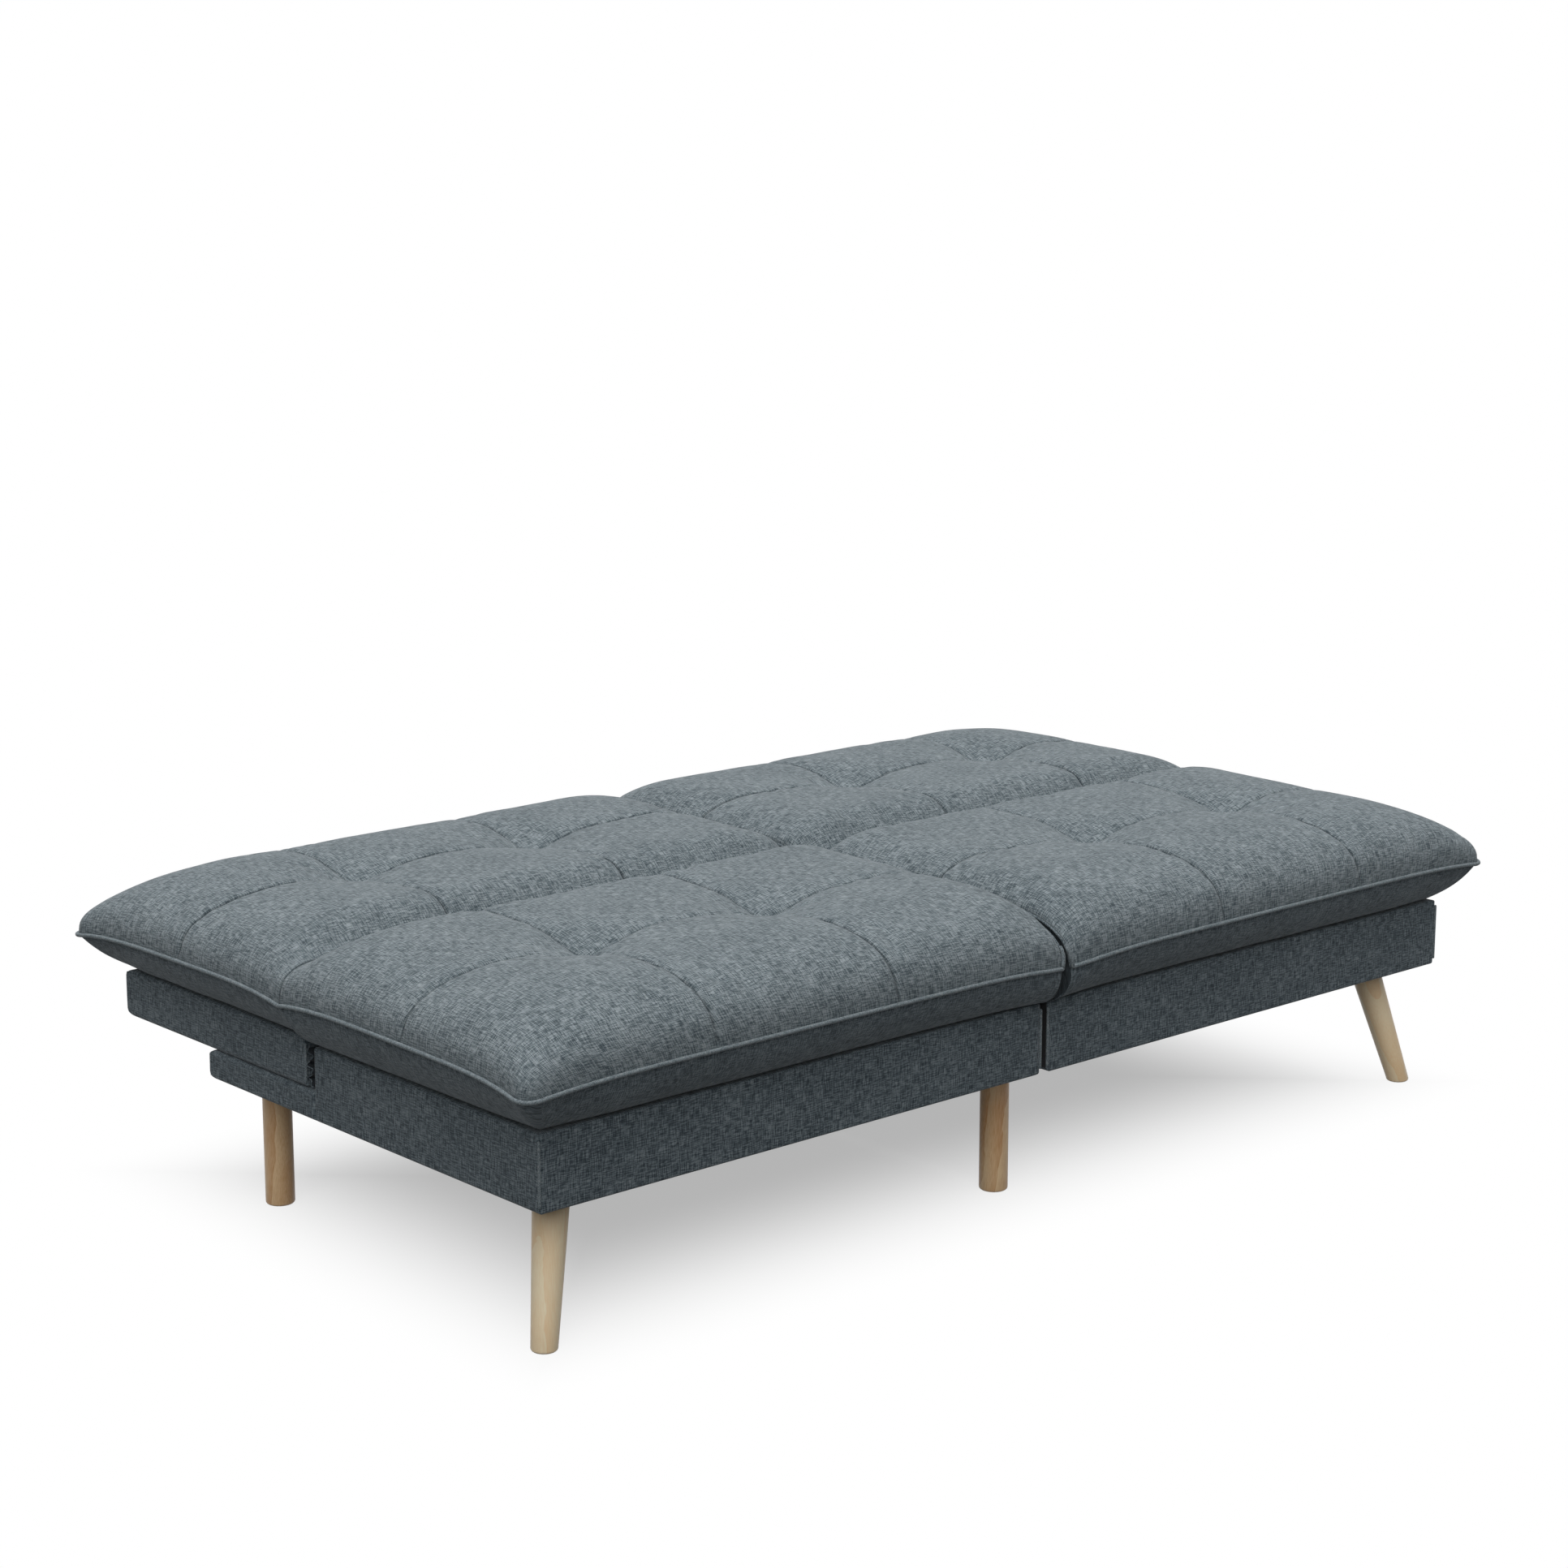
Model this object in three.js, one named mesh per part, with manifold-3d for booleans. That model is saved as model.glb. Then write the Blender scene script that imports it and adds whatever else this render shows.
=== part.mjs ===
// Click clack sofa bed, folded flat as a bed.
// Two half-width modules stand side by side. Each has an upholstered seat box on legs with a low
// shelf behind it, a back frame that lies on the shelf and swings up on two ratchet hinges, and one
// piped, tufted pad that runs over seat and back and bends at the hinge line.
// Millimetres, +Z up, +X along the length, +Y from the front of the seat to the rear.
// The origin is on the floor, below the middle of the lying surface.
import * as THREE from 'three';
import { mergeVertices } from 'three/addons/utils/BufferGeometryUtils.js';
import Module from 'manifold-3d';

const wasm = await Module();
wasm.setup();

// Lying surface
const bed_length = 1800;
const bed_depth = 1042;

// Clearances
const touch_gap = 0.3;
const running_gap = 0.1;
const cut_over = 2;

// Boxes under the pads
const end_overhang = 46;
const front_overhang = 47.5;
const rear_overhang = 47.5;
const split_gap = 8.6;
const leg_height = 187;
const seat_box_depth = 477;
const seat_box_height = 100.3;
const shelf_reach = 257.5;
const shelf_height = 40.6;
const fold_gap = 17;
const back_box_height = 68.5;

// Upholstery skins
const skin_t = 3;
const skin_corner_r = 9;
const skin_edge_r = 6;
const skin_flange = 14;
const lining_t = 1;
const lining_leg_clear = 1;
const gap_cloth_t = 1.2;
const gap_cloth_folds = 5;
const gap_cloth_margin = 5;

// Timber frames
const rail_t = 20;
const block_size = 110;
const slat_t = 10;
const slat_w = 110;
const seat_slats = 3;
const back_slats = 2;

// Pads
const pad_split_gap = 8;
const pad_crown = 155;
const pad_corner_r = 14;
const piping_rise = 55;
const piping_bow = 15;
const piping_front_bow = 10.5;
const piping_r = 2.5;
const end_roll = 226;
const side_roll = 188;
const roll_power = 2.5;
const corner_power = 1.7;
const split_roll = 55;
const split_wall = 104;
const seam_dip = 6;
const seam_w = 28;
const crease_dip = 46;
const crease_w = 34;
const tuft_dip = 22;
const tuft_w = 46;
const seat_seam_from_front = 266;
const back_seam_from_rear = 256.5;
const pad_panels = 3;
const under_inset = 6;
const under_bulge_share = 0.38;

// Ratchet hinges
const hinge_travel_deg = 78;
const hinge_drop = 2.4;
const plate_t = 3;
const plate_reach = 170;
const plate_h = 32;
const plate_drop = 16;
const plate_neck = 26;
const eye_r = 22;
const pin_r = 5;
const pin_head_r = 7;
const pin_head_t = 2.5;
const notch_steps = 3;
const notch_depth = 3.4;
const notch_mouth = 10;
const notch_floor = 5;
const pawl_drop = 30;
const pawl_w = 6.5;
const pawl_tooth = 3.2;
const pawl_tip = 2.2;
const pawl_boss_r = 5;
const pawl_rivet_r = 3;
const pawl_rivet_head_t = 1.5;
const tunnel_half = 26;
const fold_clear = 1.5;
const pocket_clear = 4;

// Legs
const leg_inset = 76.5;
const leg_splay_x_share = 0.2465;
const leg_splay_y_share = 0.2188;
const leg_top_r = 24;
const leg_foot_r = 17;
const post_r = 20;
const foot_edge_r = 4;
const rear_post_inset = 83.3;
const rear_post_from_end = 36.3;
const middle_post_from_front = 92.5;
const leg_plate_size = 64;
const leg_plate_t = 3;
const stud_r = 4;
const stud_l = 34;
const stud_end_gap = 2;
const bridge_plate_l = 150;
const bridge_plate_w = 62;
const tie_r = 4;
const tie_head_r = 7.5;
const tie_head_t = 5;
const tie_head_sides = 6;
const tie_from_front = 170;
const tie_on_shelf = 100;

// Facets
const round_steps = 24;
const corner_steps = 3;
const edge_steps = 2;
const under_steps = 3;

// Levels and faces worked out from the sizes above
const half_depth = bed_depth / 2;
const half_length = bed_length / 2;
const box_inner = split_gap / 2;
const box_outer = half_length - end_overhang;
const box_front = front_overhang - half_depth;
const seat_rear = box_front + seat_box_depth;
const back_front = seat_rear + fold_gap;
const back_rear = half_depth - rear_overhang;
const shelf_rear = seat_rear + shelf_reach;
const seat_top = leg_height + seat_box_height;
const shelf_top = leg_height + shelf_height;
const back_bottom = shelf_top + touch_gap;
const back_top = back_bottom + back_box_height;
const hinge_y = (seat_rear + back_front) / 2;
const hinge_travel = THREE.MathUtils.degToRad(hinge_travel_deg);
const hinge_z = back_top - hinge_drop;
const lining = skin_t + touch_gap;
const frame_bottom = leg_height + lining;
const seat_pad_bottom = seat_top + touch_gap;
const back_pad_bottom = back_top + touch_gap;
const crown_z = seat_top + pad_crown;

// Materials
function finish(colour, roughness, metalness = 0) {
  return new THREE.MeshStandardMaterial({ color: colour, roughness, metalness });
}
const pad_fabric = finish('#67747c', 0.95);
const box_fabric = finish('#4a565f', 0.95);
const gap_fabric = finish('#23282d', 1);
const lining_cloth = finish('#1c1d1f', 1);
const pine = finish('#d9b98a', 0.7);
const birch = finish('#dcc39a', 0.6);
const beech = finish('#d3b189', 0.5);
const zinc_steel = finish('#a9adb0', 0.4, 0.9);

// Geometry helpers

// A box between two corners.
function box(x0, x1, y0, y1, z0, z1) {
  const geometry = new THREE.BoxGeometry(x1 - x0, y1 - y0, z1 - z0);
  return geometry.translate((x0 + x1) / 2, (y0 + y1) / 2, (z0 + z1) / 2);
}

// A profile drawn in Y and Z and extruded along X from x0 to x1.
function prism(profile, x0, x1) {
  const shape = new THREE.Shape(profile.map(([y, z]) => new THREE.Vector2(y, z)));
  const geometry = new THREE.ExtrudeGeometry(shape, { depth: x1 - x0, bevelEnabled: false });
  const to_yz = new THREE.Matrix4().makeBasis(
    new THREE.Vector3(0, 1, 0), new THREE.Vector3(0, 0, 1), new THREE.Vector3(1, 0, 0));
  return geometry.applyMatrix4(to_yz).translate(x0, 0, 0);
}

// A round bar along X.
function barX(radius, x0, x1, y, z) {
  const geometry = new THREE.CylinderGeometry(radius, radius, x1 - x0, round_steps);
  return geometry.rotateZ(Math.PI / 2).translate((x0 + x1) / 2, y, z);
}

// A turned shape about the vertical, from its half outline of [radius, height] points.
function turned(outline) {
  const points = outline.map(([r, z]) => new THREE.Vector2(r, z));
  return new THREE.LatheGeometry(points, round_steps).rotateX(Math.PI / 2);
}

function volumeOf(geometry) {
  const p = geometry.getAttribute('position');
  const index = geometry.index;
  const corner = (i) => new THREE.Vector3().fromBufferAttribute(p, index.getX(i));
  let six_volumes = 0;
  for (let i = 0; i < index.count; i += 3) {
    six_volumes += corner(i).dot(corner(i + 1).cross(corner(i + 2)));
  }
  return six_volumes / 6;
}

// Merges shared vertices and turns the faces outwards.
function closed(geometry) {
  const bare = geometry.clone();
  bare.deleteAttribute('normal');
  bare.deleteAttribute('uv');
  const merged = mergeVertices(bare);
  if (volumeOf(merged) < 0) {
    merged.index.array.reverse();
  }
  return merged;
}

function toSolid(geometry) {
  const merged = closed(geometry);
  return new wasm.Manifold(new wasm.Mesh({
    numProp: 3,
    vertProperties: new Float32Array(merged.getAttribute('position').array),
    triVerts: new Uint32Array(merged.index.array),
  }));
}

function toGeometry(solid) {
  const mesh = solid.getMesh();
  const geometry = new THREE.BufferGeometry();
  geometry.setAttribute('position', new THREE.BufferAttribute(mesh.vertProperties, 3));
  geometry.setIndex(new THREE.BufferAttribute(mesh.triVerts, 1));
  return geometry;
}

function join(pieces) {
  return toGeometry(pieces.map(toSolid).reduce((a, b) => a.add(b)));
}

function cut(piece, cutters) {
  return toGeometry(cutters.map(toSolid).reduce((a, b) => a.subtract(b), toSolid(piece)));
}

function common(piece, other) {
  return toGeometry(toSolid(piece).intersect(toSolid(other)));
}

// Joins rings of equal length, each an array of [x, y, z], into one skin. A looped skin closes on
// its first ring; otherwise a fan to the middle closes each end.
function skinOver(rings, looped) {
  const n = rings[0].length;
  const points = rings.flat();
  const faces = [];
  const last = looped ? rings.length : rings.length - 1;
  for (let r = 0; r < last; r += 1) {
    const a = r * n;
    const b = ((r + 1) % rings.length) * n;
    for (let i = 0; i < n; i += 1) {
      const j = (i + 1) % n;
      faces.push(a + i, a + j, b + j, a + i, b + j, b + i);
    }
  }
  const fan = (ring, start, flip) => {
    const middle = [0, 1, 2].map((k) => ring.reduce((sum, p) => sum + p[k], 0) / n);
    points.push(middle);
    const centre = points.length - 1;
    for (let i = 0; i < n; i += 1) {
      const pair = [start + i, start + ((i + 1) % n)];
      faces.push(centre, ...(flip ? pair.reverse() : pair));
    }
  };
  if (!looped) {
    fan(rings[0], 0, true);
    fan(rings[rings.length - 1], (rings.length - 1) * n, false);
  }
  const geometry = new THREE.BufferGeometry();
  geometry.setAttribute('position', new THREE.Float32BufferAttribute(points.flat(), 3));
  geometry.setIndex(faces);
  return closed(geometry);
}

// One level ring of a rounded rectangle, inset from its outer face.
function ringAt(area, inset, z) {
  const r = Math.max(skin_corner_r - inset, touch_gap);
  const quarter = Math.PI / 2;
  const corners = [
    [area.x1 - inset - r, area.y1 - inset - r, 0],
    [area.x0 + inset + r, area.y1 - inset - r, quarter],
    [area.x0 + inset + r, area.y0 + inset + r, 2 * quarter],
    [area.x1 - inset - r, area.y0 + inset + r, 3 * quarter],
  ];
  return corners.flatMap(([x, y, start]) => Array.from({ length: corner_steps + 1 }, (_, i) => {
    const angle = start + (quarter * i) / corner_steps;
    return [x + r * Math.cos(angle), y + r * Math.sin(angle), z];
  }));
}

// The outer wall of an upholstered box: [inset, z] from the lower to the upper rounded edge.
function wallRows(z0, z1) {
  const arc = Array.from({ length: edge_steps + 1 }, (_, i) => (Math.PI / 2) * (i / edge_steps));
  const lower = arc.map((a) => [skin_edge_r * (1 - Math.sin(a)), z0 + skin_edge_r * (1 - Math.cos(a))]);
  const upper = arc.map((a) => [skin_edge_r * (1 - Math.cos(a)), z1 - skin_edge_r * (1 - Math.sin(a))]);
  return [...lower, ...upper];
}

// The space inside a skin, a touching gap off it, with its rounded upright corners.
function frameRoom(area, z0, z1) {
  return skinOver([z0, z1].map((z) => ringAt(area, lining, z)), false);
}

// A band of skin round a frame, turned in over its top and under its bottom.
function skinBand(area, z0, z1) {
  const rows = [
    [skin_flange, z0],
    ...wallRows(z0, z1),
    [skin_flange, z1],
    [skin_flange, z1 - skin_t],
    [skin_t, z1 - skin_t],
    [skin_t, z0 + skin_t],
    [skin_flange, z0 + skin_t],
  ];
  return skinOver(rows.map(([inset, z]) => ringAt(area, inset, z)), true);
}

// A tray of skin: one face closed, the other turned in round its edge. closed_z is the level of the
// closed face and open_z that of the open one, whichever is higher.
function skinTray(area, closed_z, open_z) {
  const height = Math.abs(open_z - closed_z);
  const up = Math.sign(open_z - closed_z);
  const rows = [
    ...wallRows(0, height),
    [skin_flange, height],
    [skin_flange, height - skin_t],
    [skin_t, height - skin_t],
    [skin_t, skin_t],
  ];
  return skinOver(rows.map(([inset, z]) => ringAt(area, inset, closed_z + up * z)), false);
}

// The assembly: every pair is drawn for the right half and mirrored for the left.
const sofa_bed = new THREE.Group();

function addPiece(name, geometry, material) {
  const piece = new THREE.Mesh(geometry, material);
  piece.name = name;
  sofa_bed.add(piece);
}

function addPair(name, geometry, material) {
  const right = closed(geometry);
  const left = closed(right.clone().scale(-1, 1, 1));
  addPiece(`right_${name}`, right, material);
  addPiece(`left_${name}`, left, material);
}

// Hinge stations: the rail face that each hinge's seat plate lies on, and the way its plates stack.
const inner_rail_face = box_inner + lining + rail_t;
const outer_rail_face = box_outer - lining - rail_t;
const hinges = [
  { name: 'inner', face: inner_rail_face, way: 1 },
  { name: 'outer', face: outer_rail_face, way: -1 },
];

// Where layer 0 is the seat plate's and layer 1 the back plate's, the X range of a layer.
function layerX(hinge, layer) {
  const near = touch_gap + layer * (plate_t + touch_gap);
  const ends = [hinge.face + hinge.way * near, hinge.face + hinge.way * (near + plate_t)];
  return [Math.min(...ends), Math.max(...ends)];
}

// The room that a hinge needs in covers, rails and fold pad, as a box round its plates.
function hingeRoom(hinge, y0, y1, z0, z1) {
  const stack = 2 * (plate_t + touch_gap) + pin_head_t + touch_gap + pocket_clear / 2;
  const ends = [hinge.face - hinge.way * pocket_clear, hinge.face + hinge.way * stack];
  return box(Math.min(...ends), Math.max(...ends), y0, y1, z0, z1);
}

const plate_bottom = hinge_z - plate_drop - plate_h;
const room_bottom = plate_bottom - pocket_clear;
const seat_room_front = hinge_y - plate_neck - pocket_clear;
const pawl_y = hinge_y + eye_r + touch_gap + pawl_tooth + pawl_w / 2;
const back_room_rear = pawl_y + pawl_boss_r + pocket_clear;

// Legs: places on the right half, and on the middle line
const corner_leg = { x: box_outer - leg_inset, y: box_front + leg_inset };
const rear_post = { x: box_outer - rear_post_inset, y: shelf_rear - rear_post_from_end };
const middle_front = { x: 0, y: box_front + middle_post_from_front };
const middle_rear = { x: 0, y: rear_post.y };
const plate_under = frame_bottom;
const bridge_top = leg_height - touch_gap;
const bridge_under = bridge_top - leg_plate_t;

// Leans a turned leg outwards: each level is shifted, so both ends stay level.
function splayed(geometry, pivot_z) {
  const lean = new THREE.Matrix4().set(
    1, 0, -leg_splay_x_share, leg_splay_x_share * pivot_z,
    0, 1, leg_splay_y_share, -leg_splay_y_share * pivot_z,
    0, 0, 1, 0,
    0, 0, 0, 1);
  return geometry.applyMatrix4(lean);
}

// A turned leg that stands on the floor, bored from the top for its stud.
function leg(foot_r, top_r, top_z) {
  const arc = Array.from({ length: corner_steps + 1 }, (_, i) => (Math.PI / 2) * (i / corner_steps));
  const edge = arc.map((a) => [
    foot_r - foot_edge_r * (1 - Math.sin(a)), foot_edge_r * (1 - Math.cos(a)),
  ]);
  const bore_r = stud_r + touch_gap;
  const bore_floor = top_z - stud_l - stud_end_gap;
  return turned([[0, 0], ...edge, [top_r, top_z], [bore_r, top_z], [bore_r, bore_floor], [0, bore_floor]]);
}

// A stud that hangs from a plate's underside.
function stud(plate_z) {
  const top = plate_z + leg_plate_t / 2;
  return turned([[0, plate_z - stud_l], [stud_r, plate_z - stud_l], [stud_r, top], [0, top]]);
}

function legPlate(length, width, plate_z) {
  return box(-length / 2, length / 2, -width / 2, width / 2, plate_z, plate_z + leg_plate_t);
}

function makeLegs() {
  const top_z = plate_under - touch_gap;
  const corner = splayed(leg(leg_foot_r, leg_top_r, top_z), top_z).translate(corner_leg.x, corner_leg.y, 0);
  addPair('corner_leg', corner, beech);
  const corner_stud = splayed(stud(plate_under), top_z);
  const corner_plate = join([legPlate(leg_plate_size, leg_plate_size, plate_under), corner_stud]);
  addPair('corner_leg_plate', corner_plate.translate(corner_leg.x, corner_leg.y, 0), zinc_steel);
  addPair('rear_leg', leg(post_r, post_r, top_z).translate(rear_post.x, rear_post.y, 0), beech);
  const rear_plate = join([legPlate(leg_plate_size, leg_plate_size, plate_under), stud(plate_under)]);
  addPair('rear_leg_plate', rear_plate.translate(rear_post.x, rear_post.y, 0), zinc_steel);
  for (const [name, place] of [['front', middle_front], ['rear', middle_rear]]) {
    const post = leg(post_r, post_r, bridge_under - touch_gap);
    addPiece(`middle_${name}_leg`, closed(post.translate(place.x, place.y, 0)), beech);
    const bridge = join([legPlate(bridge_plate_l, bridge_plate_w, bridge_under), stud(bridge_under)]);
    addPiece(`middle_${name}_bridge_plate`, bridge.translate(place.x, place.y, 0), zinc_steel);
  }
}

// Tie bolts through the inner side rails of both halves
const tie_z = leg_height + shelf_height / 2;
const ties = [
  { name: 'front', y: box_front + tie_from_front },
  { name: 'rear', y: seat_rear + tie_on_shelf },
];

function tieHoles() {
  return ties.map((tie) => barX(tie_r + touch_gap, 0, inner_rail_face + cut_over, tie.y, tie_z));
}

function makeTies() {
  const head_x = inner_rail_face + touch_gap;
  for (const tie of ties) {
    const shank = barX(tie_r, -head_x - tie_head_t / 2, head_x + tie_head_t / 2, tie.y, tie_z);
    const hex = new THREE.CylinderGeometry(tie_head_r, tie_head_r, tie_head_t, tie_head_sides)
      .rotateZ(Math.PI / 2);
    const head = hex.clone().translate(head_x + tie_head_t / 2, tie.y, tie_z);
    const nut = hex.clone().translate(-head_x - tie_head_t / 2, tie.y, tie_z);
    addPiece(`${tie.name}_tie_bolt`, join([shank, head, nut]), zinc_steel);
  }
}

// Seat box: stepped side rails run on into the shelf, cross rails and leg blocks join them.
const seat_area = { x0: box_inner, x1: box_outer, y0: box_front, y1: seat_rear };
const shelf_area = {
  x0: box_inner, x1: box_outer, y0: seat_rear - skin_flange - skin_corner_r, y1: shelf_rear,
};
const inner_x = box_inner + lining;
const outer_x = box_outer - lining;
const frame_front = box_front + lining;
const seat_frame_rear = seat_rear - lining;
const shelf_frame_rear = shelf_rear - lining;
const seat_frame_top = seat_top - lining;
const shelf_frame_top = shelf_top - lining;
const slat_seat = seat_frame_top - slat_t - touch_gap;

function makeSeatFrame() {
  const side = [
    [frame_front, frame_bottom], [shelf_frame_rear, frame_bottom], [shelf_frame_rear, shelf_frame_top],
    [seat_frame_rear, shelf_frame_top], [seat_frame_rear, seat_frame_top], [frame_front, seat_frame_top],
  ];
  const lap = rail_t / 2;
  const cross = (y0, y1, z1) => box(inner_x + lap, outer_x - lap, y0, y1, frame_bottom, z1);
  const middle = (inner_x + outer_x) / 2;
  const plate_top = frame_bottom + leg_plate_t;
  const block = (x0, y0) => box(
    x0, x0 + block_size, y0, y0 + block_size, frame_bottom, shelf_frame_top);
  const front_blocks = [inner_x + lap, outer_x - lap - block_size].map((x) => block(x, frame_front + lap));
  const rear_blocks = [inner_x + lap, outer_x - lap - block_size].map(
    (x) => block(x, shelf_frame_rear - lap - block_size));
  const frame = join([
    prism(side, inner_x, inner_x + rail_t),
    prism(side, outer_x - rail_t, outer_x),
    cross(frame_front, frame_front + rail_t, slat_seat),
    cross(seat_frame_rear - rail_t, seat_frame_rear, slat_seat),
    cross(shelf_frame_rear - rail_t, shelf_frame_rear, shelf_frame_top),
    box(middle - lap, middle + lap, frame_front + lap, shelf_frame_rear - lap, frame_bottom,
      shelf_frame_top),
    ...front_blocks,
    ...rear_blocks,
  ]);
  const plate_half = leg_plate_size / 2 + touch_gap;
  const plate_room = ({ x, y }) => box(x - plate_half, x + plate_half, y - plate_half, y + plate_half,
    frame_bottom - cut_over, plate_top + touch_gap);
  const rooms = hinges.map((hinge) => hingeRoom(
    { ...hinge, face: hinge.face + hinge.way * pocket_clear }, seat_frame_rear - rail_t - cut_over,
    seat_rear, room_bottom, seat_top));
  const room = join([
    frameRoom(seat_area, frame_bottom, seat_frame_top),
    frameRoom(shelf_area, frame_bottom, shelf_frame_top),
  ]);
  return cut(common(frame, room), [
    plate_room(corner_leg), plate_room(rear_post), ...rooms, ...tieHoles(),
  ]);
}

function makeSlats(count, width, y0, y1, z0) {
  const bay = (outer_rail_face - inner_rail_face) / count;
  return Array.from({ length: count }, (_, i) => {
    const middle = inner_rail_face + bay * i + bay / 2;
    return box(middle - width / 2, middle + width / 2, y0, y1, z0, z0 + slat_t);
  });
}

function makeSeatBox() {
  addPair('seat_frame', makeSeatFrame(), pine);
  const slats = makeSlats(seat_slats, slat_w, frame_front, seat_frame_rear, slat_seat + touch_gap);
  slats.forEach((slat, i) => addPair(`seat_slat_${i + 1}`, slat, birch));

  const band = skinBand(seat_area, leg_height, seat_top);
  const rooms = hinges.map((hinge) => hingeRoom(
    hinge, seat_room_front, seat_rear + cut_over, room_bottom, seat_top + cut_over));
  const shelf_way = box(box_inner + skin_t, box_outer - skin_t, seat_rear - skin_flange - cut_over,
    seat_rear + cut_over, leg_height - cut_over, back_bottom);
  addPair('seat_box_cover', cut(band, [...rooms, shelf_way, ...tieHoles()]), box_fabric);
}

function makeShelf() {
  const butt = seat_rear + touch_gap;
  const tray = skinTray(shelf_area, shelf_top, leg_height);
  const front = box(0, half_length, shelf_area.y0 - cut_over, butt, leg_height - cut_over,
    shelf_top + cut_over);
  addPair('shelf_cover', cut(tray, [front, ...tieHoles()]), box_fabric);

  const inset = skin_flange + touch_gap;
  const top = frame_bottom - touch_gap;
  const sheet = box(box_inner + inset, box_outer - inset, box_front + inset, shelf_rear - inset,
    top - lining_t, top);
  const hole = ({ x, y }, r) => turned([[0, top - cut_over], [r, top - cut_over], [r, top + cut_over],
    [0, top + cut_over]]).translate(x, y, 0);
  addPair('dust_cover', cut(sheet, [
    hole(corner_leg, leg_top_r + lining_leg_clear), hole(rear_post, post_r + lining_leg_clear),
  ]), lining_cloth);
}

// Back frame: thicker side rails, so that the back plates lie beside the seat plates
const back_rail_t = rail_t + plate_t + touch_gap;
const back_frame_front = back_front + lining;
const back_frame_rear = back_rear - lining;
const back_frame_bottom = back_bottom + lining;
const back_frame_top = back_top - lining;
const back_slat_seat = back_frame_top - slat_t - touch_gap;

function makeBack() {
  const lap = rail_t / 2;
  const side = (x0) => box(x0, x0 + back_rail_t, back_frame_front, back_frame_rear, back_frame_bottom,
    back_frame_top);
  const cross = (y0) => box(inner_x + lap, outer_x - lap, y0, y0 + rail_t, back_frame_bottom,
    back_slat_seat);
  const frame = join([
    side(inner_x), side(outer_x - back_rail_t),
    cross(back_frame_front), cross(back_frame_rear - rail_t),
  ]);
  const rooms = hinges.map((hinge) => hingeRoom(
    hinge, back_front - cut_over, back_room_rear, room_bottom, back_top + cut_over));
  const area = { x0: box_inner, x1: box_outer, y0: back_front, y1: back_rear };
  const room = frameRoom(area, back_frame_bottom, back_frame_top);
  addPair('back_frame', cut(common(frame, room), rooms), pine);
  const slats = makeSlats(back_slats, slat_w, back_frame_front, back_frame_rear,
    back_slat_seat + touch_gap);
  slats.forEach((slat, i) => addPair(`back_slat_${i + 1}`, slat, birch));
  addPair('back_cover', cut(skinTray(area, back_bottom, back_top), rooms), box_fabric);
}

// Hinge plates: one blank for both, a flat strip that rises through a neck to a round eye.
function plateBlank(hinge, layer, side) {
  const [x0, x1] = layerX(hinge, layer);
  const at = ([y, z]) => [hinge_y + side * y, hinge_z + z];
  const strip = [
    [plate_neck, -plate_drop - plate_h], [plate_reach, -plate_drop - plate_h],
    [plate_reach, -plate_drop], [plate_neck, -plate_drop], [eye_r, 0], [0, 0], [0, -eye_r],
  ];
  const eye = barX(eye_r, x0, x1, hinge_y, hinge_z);
  const pin_hole = barX(pin_r + running_gap, x0 - cut_over, x1 + cut_over, hinge_y, hinge_z);
  return { blank: join([prism(strip.map(at), x0, x1), eye]), pin_hole, x0, x1 };
}

// A notch in the eye's rim, turned to the place of one ratchet step.
function rimNotch(step, x0, x1) {
  const angle = (hinge_travel * step) / notch_steps;
  const floor = eye_r - notch_depth;
  const mouth = eye_r + cut_over;
  const turn = ([r, s]) => [
    hinge_y + r * Math.cos(angle) - s * Math.sin(angle),
    hinge_z + r * Math.sin(angle) + s * Math.cos(angle),
  ];
  const outline = [
    [floor, -notch_floor / 2], [mouth, -notch_mouth / 2],
    [mouth, notch_mouth / 2], [floor, notch_floor / 2],
  ];
  return prism(outline.map(turn), x0 - cut_over, x1 + cut_over);
}

const pawl_z = hinge_z - pawl_drop;

// The pawl stands beside the eye in the seat plate's layer, riveted to the back plate.
function makePawl(hinge) {
  const [x0, x1] = layerX(hinge, 0);
  const [back_x0, back_x1] = layerX(hinge, 1);
  const root = pawl_y - pawl_w / 2;
  const tip = root - pawl_tooth;
  const outline = [
    [pawl_y + pawl_w / 2, pawl_z], [pawl_y + pawl_w / 2, hinge_z], [root + pawl_w / 2, hinge_z + pawl_tip],
    [root, hinge_z + pawl_tip], [tip, hinge_z + pawl_tip / 2], [tip, hinge_z - pawl_tip / 2],
    [root, hinge_z - pawl_tip], [root, pawl_z],
  ];
  const outer_end = hinge.way > 0 ? back_x1 + touch_gap : back_x0 - touch_gap;
  const head_end = outer_end + hinge.way * pawl_rivet_head_t;
  const span = [hinge.way > 0 ? x0 : x1, outer_end + (hinge.way * pawl_rivet_head_t) / 2];
  return join([
    prism(outline, x0, x1),
    barX(pawl_boss_r, x0, x1, pawl_y, pawl_z),
    barX(pawl_rivet_r, Math.min(...span), Math.max(...span), pawl_y, pawl_z),
    barX(pawl_boss_r, Math.min(outer_end, head_end), Math.max(outer_end, head_end), pawl_y, pawl_z),
  ]);
}

function makePin(hinge) {
  const [x0, x1] = layerX(hinge, 0);
  const [back_x0, back_x1] = layerX(hinge, 1);
  const low = Math.min(x0, back_x0) - touch_gap;
  const high = Math.max(x1, back_x1) + touch_gap;
  return join([
    barX(pin_r, low - pin_head_t / 2, high + pin_head_t / 2, hinge_y, hinge_z),
    barX(pin_head_r, low - pin_head_t, low, hinge_y, hinge_z),
    barX(pin_head_r, high, high + pin_head_t, hinge_y, hinge_z),
  ]);
}

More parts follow.
